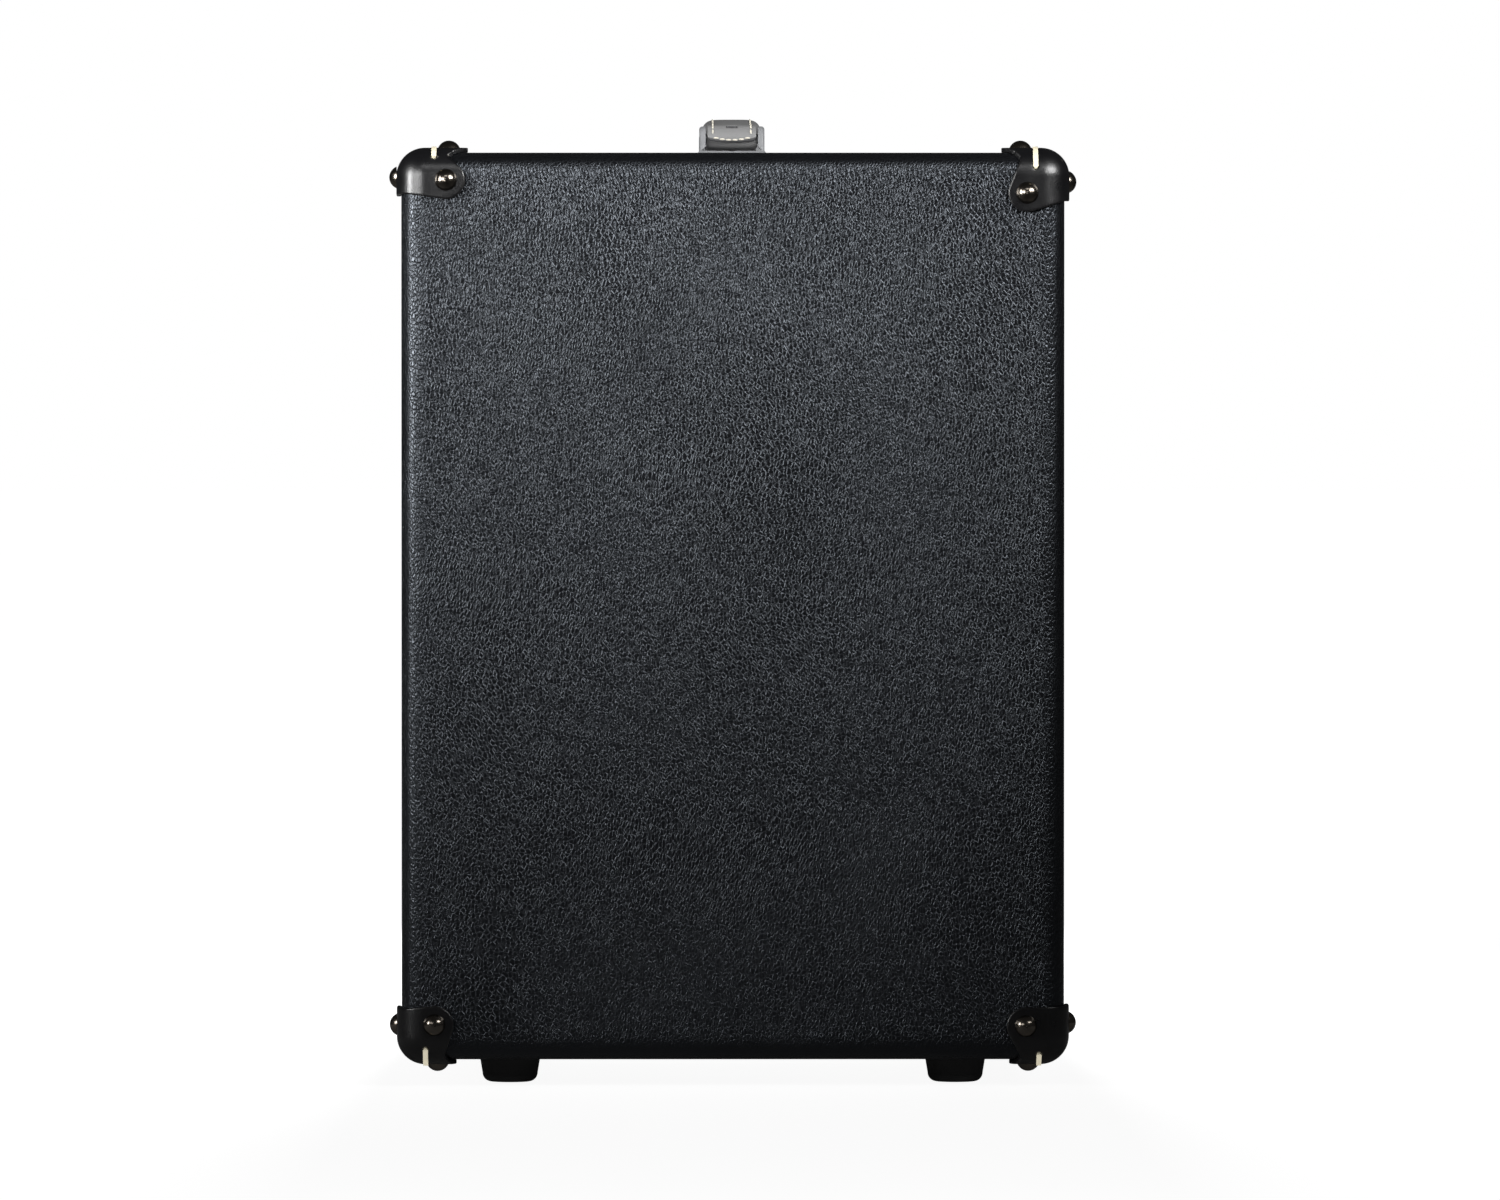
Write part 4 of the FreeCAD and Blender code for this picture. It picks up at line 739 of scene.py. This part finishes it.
class CABINET_OT_grip(bpy.types.Operator):
    """Fills the handle's padded grip and sews its two edges"""

    bl_idname = "cabinet.grip"
    bl_label = "Handle grip"

    def execute(self, context):
        sizes = context.scene.cabinet_sizes
        colours = context.scene.cabinet_colours
        grip = joined([copy_of("handle_grip", "grip"), copy_of("handle_core", "core")], "padded_grip")
        finish_with(grip, "REMESH", mode="VOXEL", voxel_size=sizes.grip_voxel)
        edit(grip)
        bpy.ops.transform.shrink_fatten(value=-sizes.grip_swell)
        close()
        self.fill(grip, sizes.grip_swell)
        finish_with(grip, "SUBSURF", levels=1, render_levels=1)
        only(grip)
        bpy.ops.object.shade_smooth()
        leather = cut_leather("grip_leather", colours.handle, colours.handle_edge_and_shade, 0.7 * MM, 0.5)
        settle(grip, leather, ["handle_grip", "handle_core"], body="handle")
        stitch = sewing_stitch(sizes)
        row = sewn(stitch, self.places(grip, sizes), "grip_stitching")
        bpy.data.objects.remove(stitch)
        # Pale and matt, with a fine fuzz
        thread = even_finish("grip_thread", colours.thread, 0.7, 0.0, 0.3 * MM, 0.05 * MM)
        settle(row, thread, body="handle")
        return {"FINISHED"}

    def fill(self, grip, most):
        """Blows the grip up as its padding does, and holds each point to the most it may move."""
        before = [vertex.co.copy() for vertex in grip.data.vertices]
        cloth = grip.modifiers.new("filling", "CLOTH")
        cloth.settings.use_pressure = True
        cloth.settings.uniform_pressure_force = filling_pressure
        cloth.settings.effector_weights.gravity = 0.0
        for step in range(1, filling_steps + 1):
            bpy.context.scene.frame_set(step)
        only(grip)
        bpy.ops.object.modifier_apply(modifier=cloth.name)
        bpy.context.scene.frame_set(1)
        for vertex, start in zip(grip.data.vertices, before):
            move = vertex.co - start
            if move.length > most:
                vertex.co = start + move.normalized() * most

    def places(self, grip, sizes):
        """Where the stitches lie on the grip's upper face, a little inside its two edges."""
        found = []
        reach = core_high.x - sizes.stitch_pitch
        count = round(2 * reach / sizes.stitch_pitch)
        edge = core_high.y - sizes.stitch_inset
        for step in range(count + 1):
            x = -reach + 2 * reach * step / count
            for y in (-edge, edge):
                above = Vector((x, y, cad_box[1].z + tongue_radius))
                hit, spot, out, _ = grip.ray_cast(above, Vector((0.0, 0.0, -1.0)))
                if not hit:
                    raise RuntimeError("the grip is missing under a stitch")
                found.append((spot, Vector((out.z, 0.0, -out.x)), out))
        return found


class CABINET_OT_grille(bpy.types.Operator):
    """Stretches the grille cloth round its frame"""

    bl_idname = "cabinet.grille"
    bl_label = "Grille cloth"

    def execute(self, context):
        sizes = context.scene.cabinet_sizes
        low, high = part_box("grille_cloth")
        middle = (low + high) / 2
        width, depth, height = high - low
        fold = sizes.cloth_turnover + sizes.cloth_thickness
        bpy.ops.mesh.primitive_plane_add(size=1.0)
        cloth = bpy.context.object
        cloth.name = "stretched_grille_cloth"
        edit(cloth)
        bpy.ops.transform.resize(value=(width, height, 1.0))
        bpy.ops.transform.rotate(value=math.pi / 2, orient_axis="X", center_override=(0.0, 0.0, 0.0))
        bpy.ops.transform.translate(value=(middle.x, low.y, middle.z))
        bpy.ops.mesh.region_to_loop()
        bpy.ops.mesh.extrude_edges_move(TRANSFORM_OT_translate={"value": (0.0, depth, 0.0)})
        bpy.ops.mesh.extrude_edges_move()
        bpy.ops.transform.resize(
            value=(1 - 2 * fold / width, 1.0, 1 - 2 * fold / height),
            center_override=(middle.x, high.y, middle.z),
        )
        bpy.ops.mesh.select_all(action="SELECT")
        bpy.ops.mesh.normals_make_consistent(inside=False)
        close()
        if cloth.data.polygons[0].normal.y > 0:
            cloth.data.flip_normals()
        finish_with(cloth, "BEVEL", width=sizes.cloth_round, segments=3)
        finish_with(cloth, "SOLIDIFY", thickness=sizes.cloth_thickness, offset=-1.0)
        only(cloth)
        bpy.ops.object.shade_smooth_by_angle(angle=math.radians(40))
        weave = woven_cloth("grille_weave", context.scene.cabinet_colours.cloth, sizes.cloth_thread)
        settle(cloth, weave, ["grille_cloth"])
        return {"FINISHED"}


class CABINET_OT_suspension(bpy.types.Operator):
    """Cuts the surround and the spider into sectors"""

    bl_idname = "cabinet.suspension"
    bl_label = "Suspension"

    def execute(self, context):
        # Black with the wet gleam of its dope; amber weave that is stiff with resin
        doped = even_finish("doped_cloth", linear("#1a1a1c"), 0.35, 0.0, 0.6 * MM, 0.08 * MM)
        spider = woven_cloth("spider_cloth", linear("#b98a3c"), 0.8 * MM)
        cone_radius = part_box("speaker_cone")[1].x
        neck_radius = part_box("voice_coil_former")[1].x
        self.sectors("speaker_surround", "surround", doped, "doped_cloth", cone_radius)
        self.sectors("speaker_spider", "spider", spider, "spider_cloth", neck_radius)
        self.leads()
        return {"FINISHED"}

    def sectors(self, node, name, material, slot, inner):
        """Copies of a ring, each cut to one sector."""
        half = math.pi / sector_count
        axis = Vector((0.0, 0.0, speaker_z))
        for step in range(sector_count):
            middle = 2 * half * step
            piece = copy_of(node, f"{name}_{step + 1}")
            for turn in (-1, 1):
                angle = middle + turn * (half + math.pi / 2)
                edit(piece)
                bpy.ops.mesh.bisect(
                    plane_co=axis, plane_no=(math.cos(angle), 0.0, math.sin(angle)), clear_outer=True,
                    use_fill=True,
                )
                close()
            only(piece)
            bpy.ops.object.shade_smooth_by_angle(angle=math.radians(40))
            settle(piece, material, [node], body=None)
            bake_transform(piece)

    def leads(self):
        """The two braided leads."""
        piece = copy_of("speaker_braided_leads", "flexing_braided_leads")
        only(piece)
        bpy.ops.object.shade_smooth_by_angle(angle=math.radians(40))
        # Copper that glints along its length
        braid = even_finish("tinsel_braid", linear("#b87a4b"), 0.35, 1.0, 0.5 * MM, 0.1 * MM)
        settle(piece, braid, ["speaker_braided_leads"], body=None)
        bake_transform(piece)


class CABINET_OT_screws(bpy.types.Operator):
    """Cuts the cross recesses into the heads of the screws that show"""

    bl_idname = "cabinet.screws"
    bl_label = "Screw heads"

    def execute(self, context):
        # Near black with a dull metallic gleam; pale metal, slightly cloudy
        black = even_finish("black_oxide", linear("#1b1b1d"), 0.4, 0.6, 0.5 * MM, 0.03 * MM)
        zinc = even_finish("zinc_plate", linear("#a9abad"), 0.35, 1.0, 0.8 * MM, 0.03 * MM)
        for node, material, slot, axis in (
            ("back_panel_screws", black, "black_screw", Vector((0.0, 1.0, 0.0))),
            ("jack_plate_screws", black, "black_screw", Vector((0.0, 1.0, 0.0))),
            ("handle_screws", black, "black_screw", Vector((0.0, 0.0, 1.0))),
            ("foot_screws_and_washers", zinc, "zinc_screw", Vector((0.0, 0.0, -1.0))),
        ):
            parts = loose_parts(copy_of(node, node))
            for part in parts:
                self.recess(part, axis)
            piece = joined(parts, f"recessed_{node}")
            only(piece)
            bpy.ops.object.shade_smooth_by_angle(angle=math.radians(35))
            settle(piece, material, [node])
        return {"FINISHED"}

    def recess(self, part, axis):
        """Cuts a cross into the face of one head; a washer has a hole there, and is left as it is."""
        points = [vertex.co for vertex in part.data.vertices]
        top = max(point.dot(axis) for point in points)
        middle = sum(points, Vector()) / len(points)
        middle += axis * (top - middle.dot(axis))
        tall = top - min(point.dot(axis) for point in points)
        if tall < screw_height:
            return
        turn = Vector((0.0, 0.0, 1.0)).rotation_difference(axis).to_matrix().to_4x4()
        arms = []
        for width, length in ((cross_width, cross_length), (cross_length, cross_width)):
            bpy.ops.mesh.primitive_cube_add(size=1.0)
            bar = bpy.context.object
            bar.data.transform(Matrix.Diagonal((width, length, cross_height, 1.0)))
            bar.data.transform(Matrix.Translation(middle) @ turn)
            arms.append(bar)
        for bar in arms:
            finish_with(part, "BOOLEAN", object=bar, operation="DIFFERENCE", solver="EXACT")
            bpy.data.objects.remove(bar)


class CABINET_OT_finishes(bpy.types.Operator):
    """Gives every other piece of the construction its finish"""

    bl_idname = "cabinet.finishes"
    bl_label = "Other finishes"

    def execute(self, context):
        colours = context.scene.cabinet_colours
        dress(
            birch_plywood(colours), "top_panel", "bottom_panel", "left_side_panel", "right_side_panel",
            "front_rails", "back_rails", "baffle_board", "back_panel", "grille_frame",
        )
        # Black pile in close rows
        dress(woven_cloth("hook_and_loop", linear("#202022"), 1.0 * MM), "grille_hook_pads")
        # Name, colour, roughness, metallic, width and depth of the speckle in millimetres, and the nodes
        rows = (
            # Matt black, a little dusty
            ("moulded_rubber", "#121213", 0.6, 0.0, 0.8, 0.08, foot_names),
            # Even grey with the fine pimples of melted powder
            ("powder_coat", colours.bracket, 0.45, 0.0, 0.4, 0.03, bracket_names),
            # Clean grey metal with a long gleam
            ("bright_steel", "#8a8b8d", 0.3, 1.0, 0.6, 0.02, ["handle_pins"]),
            # Pale metal, slightly cloudy
            (
                "zinc_plating", "#a9abad", 0.35, 1.0, 0.8, 0.03,
                ["baffle_screws", "speaker_tee_nuts", "lead_staples"],
            ),
            # Near black with a dull metallic gleam
            ("blackened_steel", "#1b1b1d", 0.4, 0.6, 0.5, 0.03, ["speaker_bolts"]),
            # Warm, bright mirror
            (
                "nickel_plating", "#c9c7c0", 0.16, 1.0, 1.0, 0.01,
                ["back_panel_cup_washers", "jack_nut_and_washer"],
            ),
            # Black with a soft gloss and slight waves
            ("black_enamel", "#17181a", 0.3, 0.0, 1.2, 0.06, ["speaker_frame", "jack_plate"]),
            # Dull brown-grey fibre
            ("pressed_board", "#3a3733", 0.85, 0.0, 0.7, 0.1, ["speaker_gasket"]),
            # Yellowish metal, clouded by its bath
            (
                "passivated_steel", "#9a9374", 0.35, 1.0, 1.0, 0.02,
                ["speaker_top_plate", "speaker_back_plate"],
            ),
            # Charcoal grey ceramic, slightly rough
            ("ferrite", "#2b2b2d", 0.55, 0.2, 0.6, 0.06, ["speaker_magnet"]),
            # Dull dark grey with felted fibres
            ("paper_pulp", colours.paper, 0.9, 0.0, 1.2, 0.2, ["speaker_cone", "speaker_dust_cap"]),
            # Glossy amber film
            ("amber_former", "#8a5a22", 0.3, 0.0, 0.6, 0.02, ["voice_coil_former"]),
            # Red-brown metal under clear varnish
            ("enamelled_copper", "#a5552b", 0.25, 1.0, 0.4, 0.05, ["voice_coil_winding"]),
            # Silvery metal, dulled by handling
            ("tinned_terminal", "#8d8c84", 0.3, 0.9, 0.6, 0.03, ["speaker_terminal_strip"]),
            # Smooth black with a soft gleam
            ("moulded_nylon", "#161617", 0.45, 0.0, 0.8, 0.03, ["input_jack"]),
            # Smooth black, slightly waxy
            ("lead_insulation", "#1c1c1d", 0.5, 0.0, 0.6, 0.03, ["speaker_lead"]),
        )
        for name, colour, roughness, metallic, speckle, depth, names in rows:
            base = linear(colour) if isinstance(colour, str) else list(colour)
            dress(even_finish(name, base, roughness, metallic, speckle * MM, depth * MM), *names)
        return {"FINISHED"}


class CABINET_OT_stage(bpy.types.Operator):
    """Sets up the floor, the studio light and the camera"""

    bl_idname = "cabinet.stage"
    bl_label = "Stage"

    def execute(self, context):
        stage = context.scene.cabinet_stage
        self.floor(stage)
        self.light(stage)
        self.camera(stage)
        return {"FINISHED"}

    def background(self, tree, shown, gleam, bounce=0.0):
        """How bright a background is to the camera and through glass, in gloss and to matt surfaces."""
        path = add_node(tree, "ShaderNodeLightPath")
        seen = add_node(
            tree, "ShaderNodeMath",
            {0: path.outputs["Is Camera Ray"], 1: path.outputs["Is Transmission Ray"]}, operation="ADD",
        )
        full = add_node(tree, "ShaderNodeMath", {0: seen.outputs[0], 1: shown}, operation="MULTIPLY")
        matt = add_node(
            tree, "ShaderNodeMath", {0: path.outputs["Is Diffuse Ray"], 1: bounce, 2: full.outputs[0]},
            operation="MULTIPLY_ADD",
        )
        return add_node(
            tree, "ShaderNodeMath", {0: path.outputs["Is Glossy Ray"], 1: gleam, 2: matt.outputs[0]},
            operation="MULTIPLY_ADD",
        )

    def floor(self, stage):
        """A plain pale floor that keeps the cabinet's shadow and runs out to white."""
        bpy.ops.mesh.primitive_plane_add(size=stage.floor_size)
        floor = bpy.context.object
        floor.name = "floor"
        material, tree, shader = start_material("pale_floor", linear("#8c8c8c"), 0.9)
        place = add_node(tree, "ShaderNodeTexCoord").outputs["Object"]
        away = add_node(tree, "ShaderNodeVectorMath", {0: place}, operation="LENGTH")
        pale = add_node(
            tree, "ShaderNodeMapRange",
            {"Value": away.outputs["Value"], "From Min": stage.pale_reach,
             "From Max": stage.white_reach, "To Min": stage.pale_level},
        )
        lift = self.background(tree, pale.outputs[0], stage.floor_gleam, stage.floor_bounce)
        glow = add_node(
            tree, "ShaderNodeEmission", {"Color": (1.0, 1.0, 1.0, 1.0), "Strength": lift.outputs[0]}
        )
        both = add_node(tree, "ShaderNodeAddShader", {0: shader.outputs[0], 1: glow.outputs[0]})
        tree.links.new(both.outputs[0], tree.nodes["Material Output"].inputs["Surface"])
        floor.data.materials.append(material)

    def light(self, stage):
        """Softboxes off the near corners and behind the far side, strips for the edges, an even room."""
        world = bpy.data.worlds.new("studio")
        bpy.context.scene.world = world
        world.use_nodes = True
        tree = world.node_tree
        shown = self.background(tree, 1.0 - stage.room_light, stage.room_gleam)
        total = add_node(
            tree, "ShaderNodeMath", {0: shown.outputs[0], 1: stage.room_light}, operation="ADD"
        )
        tree.nodes["Background"].inputs["Color"].default_value = (1.0, 1.0, 1.0, 1.0)
        tree.links.new(total.outputs[0], tree.nodes["Background"].inputs["Strength"])
        near, front = shell_high.x, shell_low.y
        high = stage.softbox_aim
        rows = (
            ("front_softbox", (1.3, -0.8, 0.955), (near, front, high), (0.8, 1.1), stage.front_power, 77),
            ("back_softbox", (0.98, 0.865, 1.28), (near, -front, high), (0.8, 1.0), stage.back_power, 77),
            ("boom_strip", (1.35, 0.0, 1.45), (near, 0.0, 1.0), (1.2, 0.35), stage.boom_power, 50),
            ("edge_strip", (0.85, -1.3, 0.75), (near, front, 0.75), (0.3, 0.85), stage.strip_power, 60),
            ("far_softbox", (-1.6, 0.0, 0.23), (-near, 0.0, 0.23), (0.28, 0.4), stage.far_power, 90),
        )
        for name, place, aim, size, power, opening in rows:
            lamp = bpy.data.objects.new(name, bpy.data.lights.new(name, "AREA"))
            bpy.context.scene.collection.objects.link(lamp)
            lamp.data.shape = "RECTANGLE"
            lamp.data.size, lamp.data.size_y = size
            lamp.data.energy = power
            lamp.data.spread = math.radians(opening)
            lamp.location = place
            lamp.rotation_euler = (Vector(aim) - lamp.location).to_track_quat("-Z", "Y").to_euler()

    def camera(self, stage):
        """The camera square to the cabinet's side, framed as the photograph is."""
        scale = (shell_high.y - shell_low.y) / (side_right - side_left)
        middle = Vector((
            shell_high.x,
            (picture_width - side_left - side_right) / 2 * scale,
            speaker_z + (side_top + side_bottom - picture_height) / 2 * scale,
        ))
        camera = bpy.data.objects.new("camera", bpy.data.cameras.new("camera"))
        bpy.context.scene.collection.objects.link(camera)
        camera.location = middle + Vector((stage.camera_distance, -stage.camera_offset, stage.camera_rise))
        sight = middle - camera.location
        camera.rotation_euler = sight.to_track_quat("-Z", "Y").to_euler()
        camera.data.lens = camera.data.sensor_width * sight.length / (picture_width * scale)
        bpy.context.scene.camera = camera
        bpy.context.scene.view_settings.view_transform = "Standard"


class CABINET_PT_panel(bpy.types.Panel):
    """The cabinet's settings, and a button for each group of pieces"""

    bl_idname = "CABINET_PT_panel"
    bl_label = "Speaker cabinet"
    bl_space_type = "VIEW_3D"
    bl_region_type = "UI"
    bl_category = "Cabinet"

    def draw(self, context):
        scene = context.scene
        for group in (scene.cabinet_sizes, scene.cabinet_colours, scene.cabinet_stage):
            column = self.layout.column(align=True)
            for name in group.__annotations__:
                column.prop(group, name)
        for operator in operators:
            self.layout.operator(operator.bl_idname)


operators = (
    CABINET_OT_covering,
    CABINET_OT_corners,
    CABINET_OT_lacing,
    CABINET_OT_nails,
    CABINET_OT_straps,
    CABINET_OT_grip,
    CABINET_OT_grille,
    CABINET_OT_suspension,
    CABINET_OT_screws,
    CABINET_OT_finishes,
    CABINET_OT_stage,
)
groups = {
    "cabinet_sizes": CabinetSizes,
    "cabinet_colours": CabinetColours,
    "cabinet_stage": StageSettings,
}
classes = (*groups.values(), *operators, CABINET_PT_panel)


def register():
    for item in classes:
        bpy.utils.register_class(item)
    for name, group in groups.items():
        setattr(bpy.types.Scene, name, PointerProperty(type=group))


def unregister():
    for name in groups:
        delattr(bpy.types.Scene, name)
    for item in reversed(classes):
        bpy.utils.unregister_class(item)


def main():
    """Makes every piece in order."""
    register()
    bpy.ops.cabinet.covering()
    bpy.ops.cabinet.corners()
    bpy.ops.cabinet.lacing()
    bpy.ops.cabinet.nails()
    bpy.ops.cabinet.straps()
    bpy.ops.cabinet.grip()
    bpy.ops.cabinet.grille()
    bpy.ops.cabinet.suspension()
    bpy.ops.cabinet.screws()
    bpy.ops.cabinet.finishes()
    bpy.ops.cabinet.stage()


if __name__ == "__main__":
    main()
